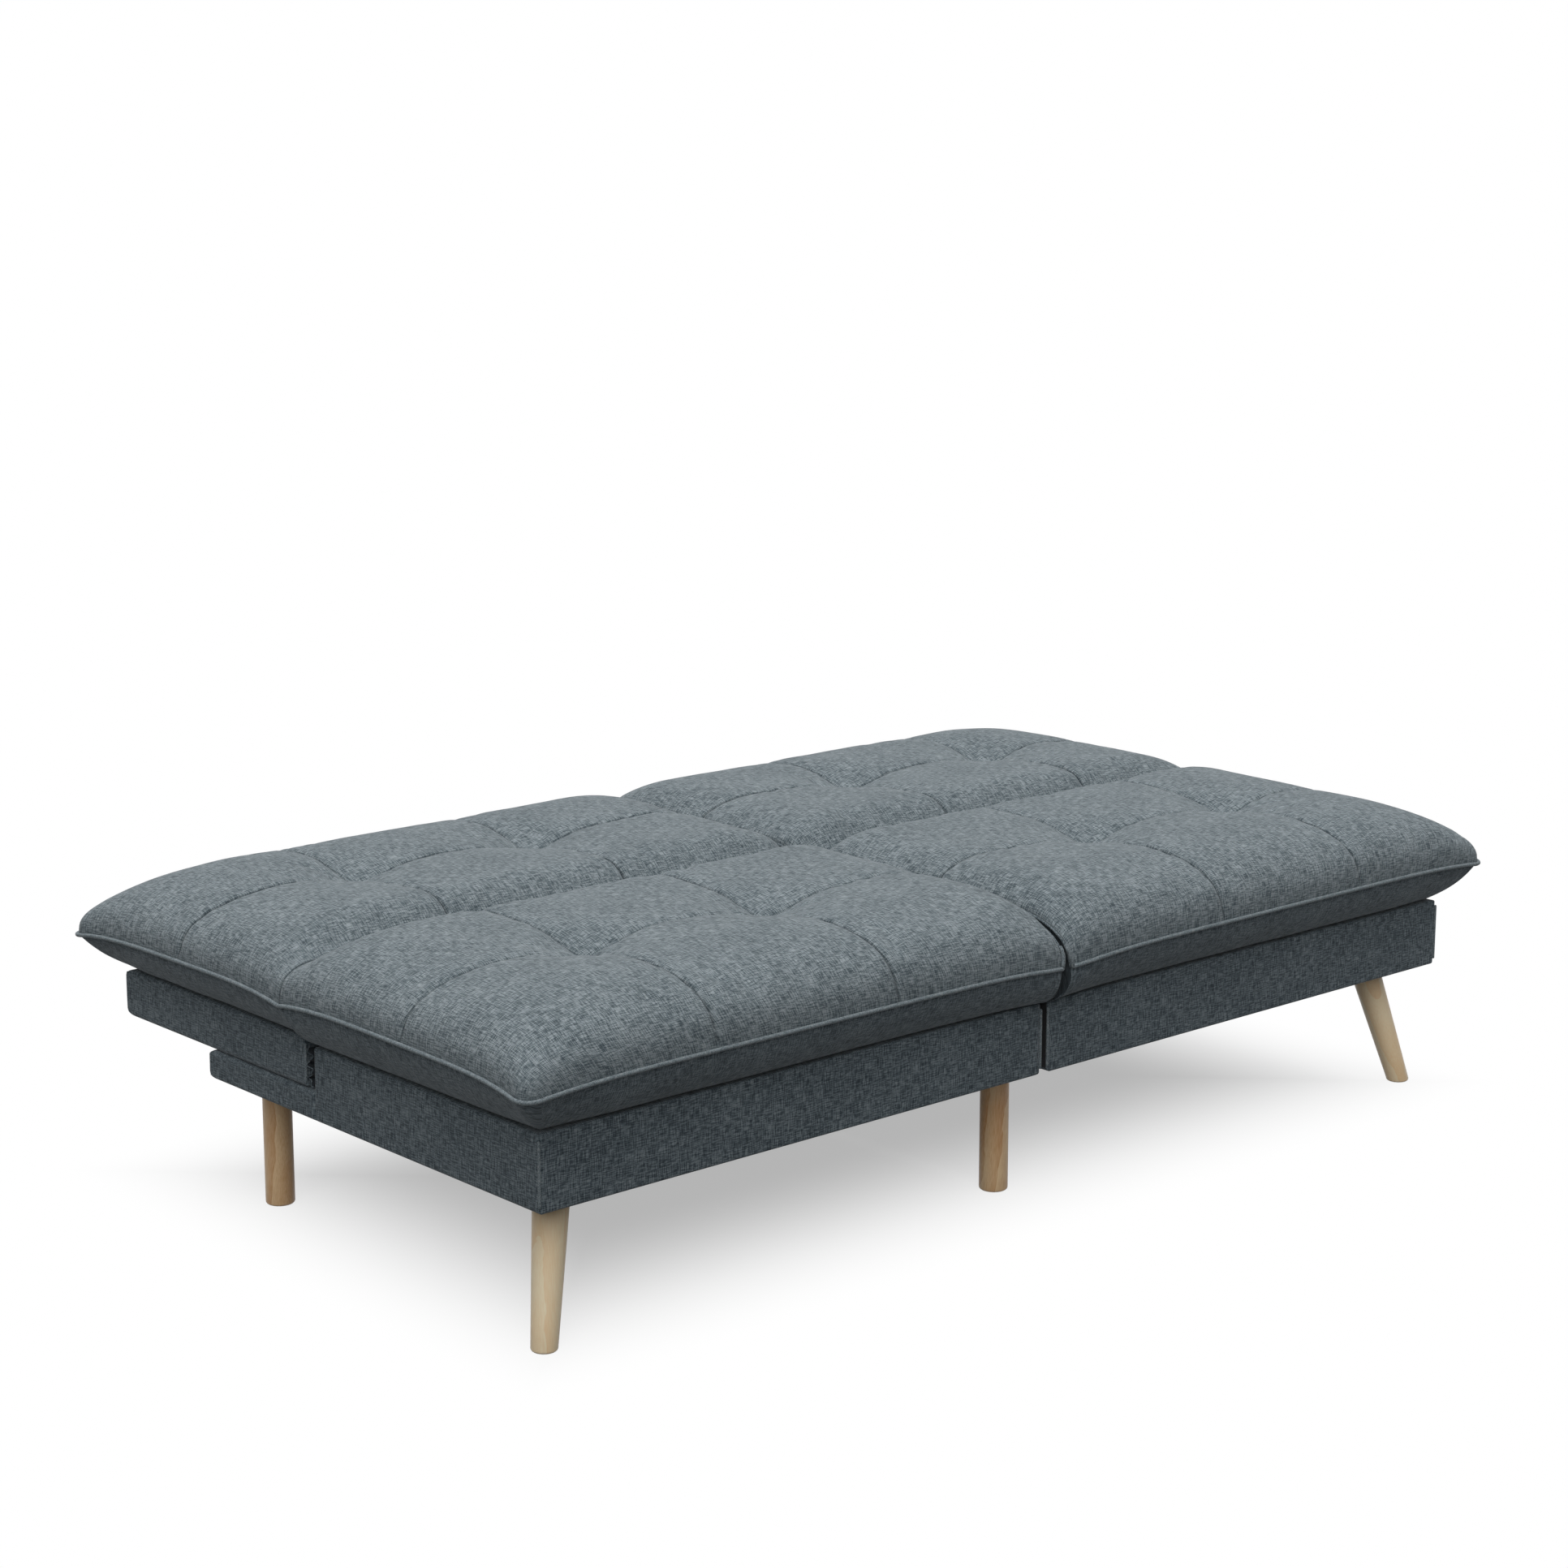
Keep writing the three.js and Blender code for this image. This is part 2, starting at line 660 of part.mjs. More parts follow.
function makeHinges() {
  for (const hinge of hinges) {
    const seat = plateBlank(hinge, 0, -1);
    const steps = Array.from({ length: notch_steps + 1 }, (_, i) => i);
    const notches = steps.map((step) => rimNotch(step, seat.x0, seat.x1));
    addPair(`${hinge.name}_hinge_seat_plate`, cut(seat.blank, [seat.pin_hole, ...notches]), zinc_steel);
    const back = plateBlank(hinge, 1, 1);
    const rivet_hole = barX(pawl_rivet_r + running_gap, back.x0 - cut_over, back.x1 + cut_over, pawl_y,
      pawl_z);
    addPair(`${hinge.name}_hinge_back_plate`, cut(back.blank, [back.pin_hole, rivet_hole]), zinc_steel);
    addPair(`${hinge.name}_hinge_pin`, makePin(hinge), zinc_steel);
    addPair(`${hinge.name}_hinge_pawl`, makePawl(hinge), zinc_steel);
  }
}

// Gap cloth: a strip folded to and fro between the seat box and the back frame
function makeGapCloth() {
  const z0 = back_bottom + gap_cloth_margin;
  const z1 = seat_top - gap_cloth_margin;
  const near = seat_rear + touch_gap;
  const far = back_front - touch_gap - gap_cloth_t;
  const row = Array.from({ length: gap_cloth_folds + 1 }, (_, i) => [
    i % 2 ? far : near, z0 + ((z1 - z0) * i) / gap_cloth_folds,
  ]);
  const back_row = row.map(([y, z]) => [y + gap_cloth_t, z]).reverse();
  const inset = skin_corner_r;
  const strip = prism([...row, ...back_row], box_inner + inset, box_outer - inset);
  const rooms = hinges.map((hinge) => hingeRoom(hinge, seat_rear, back_front, room_bottom, hinge_z));
  addPair('gap_cloth', cut(strip, rooms), gap_fabric);
}

// Pads: one crowned surface over each half, cut at the fold into seat pad, fold pad and back pad.
const pad_inner = pad_split_gap / 2;
const pad_outer = half_length;
const pad_width = pad_outer - pad_inner;
const seat_seam_y = seat_seam_from_front - half_depth;
const back_seam_y = half_depth - back_seam_from_rear;

// Places across one sewn panel, as shares of its width. An edge panel has its places closer together
// at the pad's edge.
const panel_shares = [0, 0.12, 0.32, 0.5, 0.68, 0.88];
const edge_shares = [0, 0.025, 0.07, 0.17, 0.35, 0.6, 0.85];

function stations(seams) {
  const [first, second] = seams;
  const [second_last, last] = seams.slice(-2);
  const start = edge_shares.map((share) => first + (second - first) * share);
  const end = edge_shares.map((share) => last - (last - second_last) * share).reverse();
  const inner = seams.slice(1, -2).flatMap((seam, i) => (
    panel_shares.map((share) => seam + (seams[i + 2] - seam) * share)));
  return [...start, ...inner, second_last, ...end];
}

const seams_x = Array.from({ length: pad_panels + 1 }, (_, i) => pad_inner + (pad_width * i) / pad_panels);
const seams_y = [-half_depth, seat_seam_y, hinge_y, back_seam_y, half_depth];
const pad_xs = stations(seams_x);
const pad_ys = stations(seams_y);

// Rises from 0 at an edge to 1 at the end of its roll, as a quarter ellipse of a higher power does.
function rollUp(distance, roll) {
  const left = 1 - Math.min(Math.max(distance / roll, 0), 1);
  return (1 - left ** roll_power) ** (1 / roll_power);
}

// Joins the rises from several edges, fuller in the corners than their product.
function joinRises(...rises) {
  const sum = rises.reduce((total, rise) => total + rise ** -corner_power, 1 - rises.length);
  return sum ** (-1 / corner_power);
}

// The outer end of the pad at a place along its depth: its corners are rounded in plan.
function outerEdge(y) {
  const past = Math.abs(y) - (half_depth - pad_corner_r);
  const drop = past > 0 ? pad_corner_r - Math.sqrt(Math.max(pad_corner_r ** 2 - past ** 2, 0)) : 0;
  return pad_outer - drop;
}

// The piping's height: bowed up between the corners, on the end and along the front and rear.
function pipingZ(x, y) {
  const start = y < hinge_y ? -half_depth : hinge_y;
  const end = y < hinge_y ? hinge_y : half_depth;
  const hump = Math.sin((Math.PI * (y - start)) / (end - start));
  const along = Math.sin((Math.PI * (x - pad_inner)) / pad_width);
  const to_end = (x - pad_inner) / pad_width;
  const to_side = (y / half_depth) ** 2;
  return seat_top + piping_rise + piping_bow * hump * to_end + piping_front_bow * along * to_side;
}

function padTop(x, y) {
  const low = pipingZ(x, y);
  const at_edges = joinRises(rollUp(outerEdge(y) - x, end_roll),
    rollUp(y + half_depth, side_roll), rollUp(half_depth - y, side_roll));
  const at_split = (split_wall + (pad_crown - split_wall) * rollUp(x - pad_inner, split_roll)) / pad_crown;
  const rise = at_edges * at_split;
  const near = (distance, width) => Math.exp(-((distance / width) ** 2));
  const seams = [...seams_x.slice(1, -1).map((s) => near(x - s, seam_w)),
    near(y - seat_seam_y, seam_w), near(y - back_seam_y, seam_w)];
  const tufts = seams_x.slice(1, -1).flatMap((s) => [seat_seam_y, back_seam_y].map(
    (t) => near(Math.hypot(x - s, y - t), tuft_w)));
  const dips = seam_dip * Math.max(...seams) + tuft_dip * Math.max(...tufts)
    + crease_dip * near(y - hinge_y, crease_w);
  return low + (crown_z - low - dips) * rise;
}

function padBody() {
  const nx = pad_xs.length - 1;
  const ny = pad_ys.length - 1;
  const plan = (i, j) => {
    const share = (pad_xs[i] - pad_inner) / pad_width;
    return [pad_inner + share * (outerEdge(pad_ys[j]) - pad_inner), pad_ys[j]];
  };
  const loop = [
    ...pad_xs.slice(0, -1).map((_, i) => plan(i, 0)),
    ...pad_ys.slice(0, -1).map((_, j) => plan(nx, j)),
    ...pad_xs.slice(0, -1).map((_, i) => plan(nx - i, ny)),
    ...pad_ys.slice(0, -1).map((_, j) => plan(0, ny - j)),
  ];
  const middle = [(pad_inner + pad_outer) / 2, 0];
  const inward = ([x, y], amount) => {
    const hold = (value, low, high) => Math.min(Math.max(value, low), high);
    return [hold(x, pad_inner + amount, pad_outer - amount),
      hold(y, amount - half_depth, half_depth - amount)];
  };
  // The foot of the side: drawn in over the boxes' edge.
  const foot = ([x, y]) => [
    Math.min(Math.max(x, box_inner + under_inset), box_outer - under_inset),
    Math.min(Math.max(y, box_front + under_inset), back_rear - under_inset),
  ];
  const side = (share) => loop.map((p) => {
    const bead = inward(p, piping_r);
    const base = foot(p);
    // Between a straight slope and a quarter ellipse.
    const angle = (share * Math.PI) / 2;
    const across = share + (1 - Math.cos(angle) - share) * under_bulge_share;
    const down = share + (Math.sin(angle) - share) * under_bulge_share;
    const top = pipingZ(...p) - piping_r;
    return [bead[0] + (base[0] - bead[0]) * across, bead[1] + (base[1] - bead[1]) * across,
      top + (seat_pad_bottom - top) * down];
  });
  const under = Array.from({ length: under_steps + 1 }, (_, k) => side(k / under_steps));
  const rim = loop.map((p) => [...p, pipingZ(...p)]);
  const edge = loop.map((p) => [...inward(p, piping_r), pipingZ(...p) + piping_r]);
  const split_edge = edge.map(([x, y, z]) => [x, y, Math.max(z, padTop(x, y))]);

  const points = [];
  const faces = [];
  const keep = (p) => points.push(p) - 1;
  const rings = [...under.reverse(), rim, split_edge].map((ring) => ring.map(keep));
  const n = loop.length;
  for (let r = 0; r + 1 < rings.length; r += 1) {
    for (let i = 0; i < n; i += 1) {
      const j = (i + 1) % n;
      faces.push(rings[r][i], rings[r][j], rings[r + 1][j], rings[r][i], rings[r + 1][j], rings[r + 1][i]);
    }
  }
  const top_ring = rings[rings.length - 1];
  const grid = pad_ys.map((y, j) => pad_xs.map((x, i) => {
    const inside = i > 0 && j > 0 && i < nx && j < ny;
    const [px, py] = plan(i, j);
    return inside ? keep([px, py, padTop(px, py)]) : -1;
  }));
  const top_index = (i, j) => {
    if (j === 0) return top_ring[i];
    if (i === nx) return top_ring[nx + j];
    if (j === ny) return top_ring[nx + ny + (nx - i)];
    if (i === 0) return top_ring[(2 * nx + ny + (ny - j)) % n];
    return grid[j][i];
  };
  for (let j = 0; j < ny; j += 1) {
    for (let i = 0; i < nx; i += 1) {
      const [a, b] = [top_index(i, j), top_index(i + 1, j)];
      const [c, d] = [top_index(i + 1, j + 1), top_index(i, j + 1)];
      faces.push(a, b, c, a, c, d);
    }
  }
  const centre = keep([...middle, seat_pad_bottom]);
  for (let i = 0; i < n; i += 1) {
    faces.push(rings[0][(i + 1) % n], rings[0][i], centre);
  }
  const geometry = new THREE.BufferGeometry();
  geometry.setAttribute('position', new THREE.Float32BufferAttribute(points.flat(), 3));
  geometry.setIndex(faces);
  return closed(geometry);
}

// Half profile of the room that the fold takes: upright past the eyes, then leaning out by half the
// travel, so that seat pad and back pad meet face to face when the back is up.
function foldSide(side, clearance, bottom) {
  const half = hinge_travel / 2;
  const lean_start = (tunnel_half - fold_clear / Math.cos(half)) / Math.tan(half);
  const top = crown_z + cut_over;
  const at_top = (top - hinge_z) * Math.tan(half) + fold_clear / Math.cos(half);
  return [
    [hinge_y + side * (tunnel_half - clearance), bottom],
    [hinge_y + side * (tunnel_half - clearance), hinge_z + lean_start],
    [hinge_y + side * (at_top - clearance), top],
  ];
}

function makePads() {
  const body = padBody();
  const x0 = 0;
  const x1 = half_length + cut_over;
  const past = half_depth + cut_over;
  const top = crown_z + cut_over;
  const seat_room = [
    ...foldSide(-1, 0, seat_pad_bottom - cut_over), [-past, top], [-past, seat_pad_bottom - cut_over],
  ];
  const back_room = [...foldSide(1, 0, back_pad_bottom), [past, top], [past, back_pad_bottom]];
  const slack = touch_gap / Math.cos(hinge_travel / 2);
  const fold_room = [
    ...foldSide(-1, slack, back_pad_bottom), ...foldSide(1, slack, back_pad_bottom).reverse(),
  ];
  addPair('seat_pad', common(body, prism(seat_room, x0, x1)), pad_fabric);
  addPair('back_pad', common(body, prism(back_room, x0, x1)), pad_fabric);
  const rooms = hinges.map((hinge) => hingeRoom(hinge, hinge_y - tunnel_half, hinge_y + tunnel_half,
    back_pad_bottom - cut_over, hinge_z + eye_r + cut_over));
  addPair('fold_pad', cut(common(body, prism(fold_room, x0, x1)), rooms), pad_fabric);
}

makeSeatBox();
makeShelf();
makeBack();
makeHinges();
makeGapCloth();
makePads();
makeLegs();
makeTies();

export default sofa_bed;
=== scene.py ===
"""Click clack sofa bed, folded flat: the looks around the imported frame.

Metres, +X along the length, +Y from the front of the seat to the rear, +Z up. Each half is worked
out on the right of the middle plane and mirrored for the left, with wrinkles of its own.
"""

import math

import bmesh
import bpy
import numpy as np
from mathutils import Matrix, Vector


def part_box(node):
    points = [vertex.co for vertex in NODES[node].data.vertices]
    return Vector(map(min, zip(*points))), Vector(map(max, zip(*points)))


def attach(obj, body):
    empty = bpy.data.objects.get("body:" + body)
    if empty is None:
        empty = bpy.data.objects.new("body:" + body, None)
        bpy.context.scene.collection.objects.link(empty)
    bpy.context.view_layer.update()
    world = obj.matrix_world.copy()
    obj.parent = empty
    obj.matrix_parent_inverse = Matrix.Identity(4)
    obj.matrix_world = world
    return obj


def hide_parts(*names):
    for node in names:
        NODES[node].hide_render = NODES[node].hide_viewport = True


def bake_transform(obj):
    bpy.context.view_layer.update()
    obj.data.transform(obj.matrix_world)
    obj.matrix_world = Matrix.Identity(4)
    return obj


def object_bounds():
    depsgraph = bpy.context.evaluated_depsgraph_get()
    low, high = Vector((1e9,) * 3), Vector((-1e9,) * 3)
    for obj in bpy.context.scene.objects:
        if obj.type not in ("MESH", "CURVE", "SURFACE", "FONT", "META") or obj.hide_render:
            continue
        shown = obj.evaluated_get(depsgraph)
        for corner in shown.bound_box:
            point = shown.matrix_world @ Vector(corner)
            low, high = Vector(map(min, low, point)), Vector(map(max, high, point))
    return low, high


# The camera of the photograph
CAMERA_PLACE = (-3.0177, -3.3511, 1.4728)
CAMERA_TILT_DEG = 77.974
CAMERA_TURN_DEG = -41.5306
CAMERA_LENS_MM = 73.53
CAMERA_SENSOR_MM = 36.0

# Light
SUN_STRENGTH = 2.10
SUN_SOFTNESS_DEG = 50.0
SUN_TILT_DEG = (-13.0, 7.0, 0.0)
FILL_STRENGTH = 1.30
FILL_SOFTNESS_DEG = 50.0
FILL_TILT_DEG = (47.0, 0.0, -44.0)
WORLD_LIGHT = 0.14
FLOOR_SIZE = 14.0
WHITE = "#ffffff"
FLOOR_COLOUR = "#a2a2a2"
FLOOR_BOUNCE = "#606060"
FLOOR_LIFT = 0.45
SHADOW_START = -0.40
SHADOW_END = 0.05

# Mattress: the outline of each half's one pad, and the cords sewn into its rim
SEAM_INSET = 0.0040
CORNER_R = 0.028
SPLIT_CORNER_R = 0.006
EAR_X = 0.017
EAR_Y = 0.002
EAR_REACH = 0.055
SPLIT_PULL = 0.007
SPLIT_PULL_W = 0.050
CREASE_GAP = 0.0045
CREASE_GAP_W = 0.030
PIPING_R = 0.0029
PIPING_INSET = 0.0016
PIPING_STEP = 0.0002
PIPING_RISE = 0.055
PIPING_BOW = 0.012
PIPING_FRONT_BOW = 0.0105
PIPING_HINGE_RISE = 0.006
WELT_R = 0.0017
WELT_STEP = 0.0004

# Mattress: how the top rolls over to its rim
END_ROLL = 0.226
FRONT_ROLL = 0.188
REAR_ROLL = 0.176
SPLIT_ROLL = 0.090
SPLIT_WALL_SHARE = 0.67
ROLL_POWER = 2.5
CORNER_POWER = 1.7
CORNER_SINK = 0.20
CORNER_SINK_REACH = 0.09

# Mattress: seams, the valleys and tufts that they pull in, and the crease over the hinges
SEAMS_X = np.array([0.313, 0.614])
SEAT_SEAM_Y = -0.256
BACK_SEAM_Y = 0.2565
SEAM_DIP = 0.0030
VALLEY_DIP = 0.0085
VALLEY_REACH = 0.095
VALLEY_W = 0.012
VALLEY_SLOPE = 0.055
VALLEY_FADE = 2.0
TUFT_DIP = 0.009
TUFT_W = 0.060
CREASE_DIP = 0.036
CREASE_W = 0.034
CREASE_CUT = 0.011
CREASE_CUT_W = 0.010

# Mattress: stitches, puckers, folds and swells on the top
SEAM_CUT = 0.0020
SEAM_CUT_W = 0.0050
STITCH_DEPTH = 0.0022
STITCH_W = 0.0017
STITCH_HIDDEN = 0.75
# How dark the painted seam shade is in the middle of a seam or the crease.
STITCH_HIDDEN_W = 0.085
SEAM_SHADE_TONE = 0.70
PUCKER_HEIGHT = 0.0007
PUCKER_LENGTH = 0.011
PUCKER_START = 0.008
PUCKER_REACH = 0.022
RIM_PUCKERS = 0.8
RIM_FADE = 0.0015
CREASE_PUCKERS = 1.5
CREASE_PUCKER_SIZE = (0.0176, 0.050)
CREASE_PUCKER_START = 0.020
CREASE_PUCKER_REACH = 0.030
FOLD_HEIGHT = 0.0008
FOLD_COUNTS = (4, 7, 11)
FOLD_SHARES = (0.4, 1.0)
FOLD_START = 0.030
FOLD_REACH = 0.042
SWELL_HEIGHT = 0.0014
SWELL_SIZE = 0.130
SMALL_SWELL_HEIGHT = 0.0007
SMALL_SWELL_SIZE = 0.050

# Mattress: its side band, its underside and where it bends
UNDER_INSET = 0.013
UNDER_BULGE_SHARE = 0.34
UNDER_BULGE_MORE = 0.36
UNDER_BULGE_REACH = 0.16
SPLIT_SPREAD = 0.0024
SPLIT_SPREAD_REACH = 0.010
SPLIT_BULGE_MORE = 0.55
SPLIT_BULGE_REACH = 0.045
SPLIT_FACING = -0.8
BAND_ROWS = 14
BAND_PUCKER_SIZE = (0.011, 0.030)
BAND_WAVE = 0.0010
BAND_WAVE_SIZE = (0.070, 0.060)
BAND_CREASE = 0.0008
BAND_CREASE_SIZE = (0.016, 0.120)
BAND_CREASE_REACH = 0.045
BAND_CREASE_FROM_END = 0.100
POCKET_X = 0.0075
POCKET_Y = 0.030
POCKET_RISE = 0.030
POCKET_EDGE = 0.005

# Meshes
EDGE_ZONE = 0.034
EDGE_LINES = 12
SEAM_ZONE = 0.0088
FINE_STEP = 0.0011
COARSE_STEP = 0.0046
DOUBLES_WITHIN = 2e-5
TUBE_END_RINGS = 4
STEEP_PATH = 0.9
RIPPLE_VALUES = 4096

# Cloth simulation of the mattress top
CLOTH_STEP = 0.0095
CLOTH_FRAMES = 24
CLOTH_EASE = 0.016
CLOTH_PRESSURE = 1.2
CLOTH_CAP = 0.0020
CLOTH_HOLD = 0.45
CLOTH_CRUMPLE = 0.0012
CLOTH_CRUMPLE_SIZE = 0.021

# Upholstered boxes
CLOTH_T = 0.0012
HEM_W = 0.016
HEM_ROWS = 5
BOX_STEP = 0.012
ARC_ROWS = 5
BOX_PLAN_R = 0.0045
CRISP_R = 0.0036
END_EDGE_R = 0.006
GROOVE_R = 0.009
SPLIT_EDGE_R = 0.009
BACK_TOP_R = 0.019
BACK_LOW_R = 0.022
BACK_FRONT_R = 0.007
SHELF_TOP_R = 0.015
SHELF_LOW_R = 0.019
CLOTH_WAVE = 0.0005
CLOTH_WAVE_SIZE = 0.055
CLOTH_WAVE_FADE = 0.003
FACE_WITHIN = 0.0004
FACE_RINGS = 22
FACE_RING_POWER = 2.6
BOX_WELT_R = 0.0019
BOX_WELT_SHORT = 0.010
BOX_WELT_ROWS = 14
WELT_SUNK = 0.0005
SHELF_PASS_INSET = 0.008
SHELF_PASS_DROP = 0.001
BUTT_R = 0.0006
BUTT_INSET = 0.006
FRAME_CLEAR = 0.0028
SPLIT_ROOM = 0.002

# Heights that no opening goes past
BELOW_ALL = 0.0
ABOVE_ALL = 1.0

# Hinges, as far as the covers leave room for them
HINGE_ROOM_BELOW = 0.004
HINGE_ROOM_BESIDE = 0.0035

# Cloth in the gap, and lining under the boxes
GAP_FOLDS = 5
GAP_FOLD_ROWS = 10
GAP_FOLD_LENGTH = 0.02
GAP_COLUMN = 0.006
GAP_CLEAR = 0.001
GAP_LEAST_CLEAR = 0.0006
GAP_WANDER = 0.0035
GAP_WANDER_SIZES = ((0.028, 0.020), (0.033, 0.020), (0.024, 0.013))
GAP_END = 0.0075
GAP_END_REACH = 0.010
GAP_END_WAVE = 0.0022
GAP_END_TURNS = 2.3
GAP_CLOTH_T = 0.0005
GAP_HEM_R = 0.0008
LINING_STEP = 0.009
LINING_SAG = 0.0016
LINING_SAG_REACH = 0.060
LINING_WAVE = 0.00064
LINING_WAVE_SIZE = 0.080
LINING_T = 0.0006
LEG_HOLE_CLEAR = 0.0020
LEG_HOLE_REACH = 0.0072

# Legs
LEG_SIDES = 72
LEG_FOOT_ROUND = 0.004
LEG_FOOT_ROWS = 7
LEG_ROWS = 5
PITH_AWAY = (0.055, 0.030)
GRAIN_LEAN = 0.10
GRAIN_APART = 0.3


# Frame

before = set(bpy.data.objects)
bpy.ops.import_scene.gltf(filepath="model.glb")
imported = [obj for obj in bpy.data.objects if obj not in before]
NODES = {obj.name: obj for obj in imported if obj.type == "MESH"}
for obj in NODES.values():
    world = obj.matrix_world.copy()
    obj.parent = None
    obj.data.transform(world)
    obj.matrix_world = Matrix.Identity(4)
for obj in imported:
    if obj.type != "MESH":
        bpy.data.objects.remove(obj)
cad_low, cad_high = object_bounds()


def span(node):
    """Lowest and highest corner of a frame node, as two arrays."""
    low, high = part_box(node)
    return np.array(low), np.array(high)


# The seat box's cloth stands back from the split a little more than the frame's cover does
SEAT_BOX = span("right_seat_box_cover")
SEAT_BOX[0][0] += SPLIT_ROOM
SHELF = span("right_shelf_cover")
BACK_BOX = span("right_back_cover")
SEAT_PAD = span("right_seat_pad")
BACK_PAD = span("right_back_pad")
GAP = span("right_gap_cloth")
LINING = span("right_dust_cover")
PIN = span("right_inner_hinge_pin")

PAD_INNER = SEAT_PAD[0][0]
PAD_OUTER = SEAT_PAD[1][0]
HALF_DEPTH = BACK_PAD[1][1]
CROWN = SEAT_PAD[1][2]
SEAT_BOTTOM = SEAT_PAD[0][2]
BACK_BOTTOM = BACK_PAD[0][2]
HINGE_Y = (PIN[0][1] + PIN[1][1]) / 2
SEAMS_Y = np.array([SEAT_SEAM_Y, HINGE_Y, BACK_SEAM_Y])
SIDES = {"right": 1, "left": -1}


# Materials

def linear(hex_colour):
    """An sRGB hex value as linear red, green, blue and alpha."""
    parts = [int(hex_colour[i:i + 2], 16) / 255 for i in (1, 3, 5)]
    return tuple(c / 12.92 if c <= 0.04045 else ((c + 0.055) / 1.055) ** 2.4 for c in parts) + (1.0,)


def node(tree, kind, inputs=None, **settings):
    """Adds a node, sets its properties, then fills or links its inputs."""
    made = tree.nodes.new(kind)
    for name, value in settings.items():
        setattr(made, name, value)
    for socket, value in (inputs or {}).items():
        if isinstance(value, bpy.types.NodeSocket):
            tree.links.new(value, made.inputs[socket])
        else:
            made.inputs[socket].default_value = value
    return made


def blank(name, finish):
    """A new material: a Principled shader with the inputs that finish gives, and nothing else."""
    material = bpy.data.materials.new(name)
    material.use_nodes = True
    tree = material.node_tree
    tree.nodes.clear()
    shader = node(tree, "ShaderNodeBsdfPrincipled", finish)
    node(tree, "ShaderNodeOutputMaterial", {"Surface": shader.outputs["BSDF"]})
    return material, tree, shader


def maths(tree, operation, *values):
    """The result of a Math node on these values."""
    return node(tree, "ShaderNodeMath", dict(enumerate(values)), operation=operation).outputs[0]


def remap(tree, value, low, high, **settings):
    """The value brought from between low and high to between 0 and 1."""
    return node(tree, "ShaderNodeMapRange", {"Value": value, "From Min": low, "From Max": high},
                **settings).outputs["Result"]


def noise(tree, place, scale, detail, output="Fac", **settings):
    """A cloudy pattern's value, or its colour."""
    return node(tree, "ShaderNodeTexNoise", {"Vector": place, "Scale": scale, "Detail": detail},
                **settings).outputs[output]


def stretch(tree, place, scale, shift=(0.0, 0.0, 0.0)):
    """A place times a scale for each axis, then shifted."""
    return node(tree, "ShaderNodeMapping", {
        "Vector": place, "Location": shift, "Scale": scale}).outputs["Vector"]


def object_place(tree):
    """The place on the piece, in metres."""
    return node(tree, "ShaderNodeTexCoord").outputs["Object"]


def raise_face(tree, shader, height, strength, distance):
    """Bumps the shader's face by a pattern's height."""
    bump = node(tree, "ShaderNodeBump", {
        "Height": height, "Strength": strength, "Distance": distance})
    tree.links.new(bump.outputs["Normal"], shader.inputs["Normal"])


def seen(tree):
    """1 for rays from the camera, off metal and through glass, and 0 for those that light things."""
    path = node(tree, "ShaderNodeLightPath").outputs
    direct = maths(tree, "MAXIMUM", path["Is Camera Ray"], path["Is Glossy Ray"])
    return maths(tree, "MAXIMUM", direct, path["Is Transmission Ray"])


def ramp(tree, factor, stops):
    """A colour ramp over factor, with (place, sRGB hex) stops."""
    made = node(tree, "ShaderNodeValToRGB", {"Fac": factor})
    elements = made.color_ramp.elements
    while len(elements) < len(stops):
        elements.new(0.5)
    for element, (place, colour) in zip(elements, stops):
        element.position = place
        element.color = linear(colour)
    return made.outputs["Color"]


def woven(name, stops, thread_mm=1.25, slub_mm=17.0):
    """Woven polyester melange with a linen look. Threads of uneven thickness and tone run both ways,
    so the cloth shows short pale and dark dashes, across and down. It is matt, with a little fuzz
    that pales it at a low angle. The threads are drawn two to three times as thick as real ones,
    because those are too fine to show in a view of the whole bed."""
    material, tree, shader = blank(name, {
        "Roughness": 0.92, "Sheen Weight": 0.15, "Sheen Roughness": 0.5, "Specular IOR Level": 0.2})
    weave = node(tree, "ShaderNodeUVMap", uv_map="weave").outputs["UV"]
    fine_thread, fine_slub = thread_mm / 1.5, slub_mm / 2.5
    threads = 0.0
    for across, along, weight in ((thread_mm, slub_mm, 0.34), (slub_mm, thread_mm, 0.34),
                                  (fine_thread, fine_slub, 0.16), (fine_slub, fine_thread, 0.16)):
        place = stretch(tree, weave, (1000 / across, 1000 / along, 1.0), (across, along, 0.0))
        yarn = noise(tree, place, 1.0, 1.0, noise_dimensions="2D")
        dash = remap(tree, yarn, 0.38, 0.62, interpolation_type="SMOOTHSTEP")
        threads = maths(tree, "MULTIPLY_ADD", dash, weight, threads)
    clouds = noise(tree, weave, 14.0, 3.0, noise_dimensions="2D")
    tone = remap(tree, maths(tree, "MULTIPLY_ADD", clouds, 0.22, threads), 0.28, 0.94)
    # The stitched attribute mixes in a dark colour, painted shade along the seam grooves and the crease.
    stitches = node(tree, "ShaderNodeAttribute", attribute_name="stitched").outputs["Fac"]
    sewn = node(tree, "ShaderNodeMixRGB", {
        "Fac": stitches, "Color1": ramp(tree, tone, stops), "Color2": linear(SEAM_SHADE_COLOUR)})
    tree.links.new(sewn.outputs["Color"], shader.inputs["Base Color"])
    raise_face(tree, shader, threads, 0.26, 0.0007)
    return material


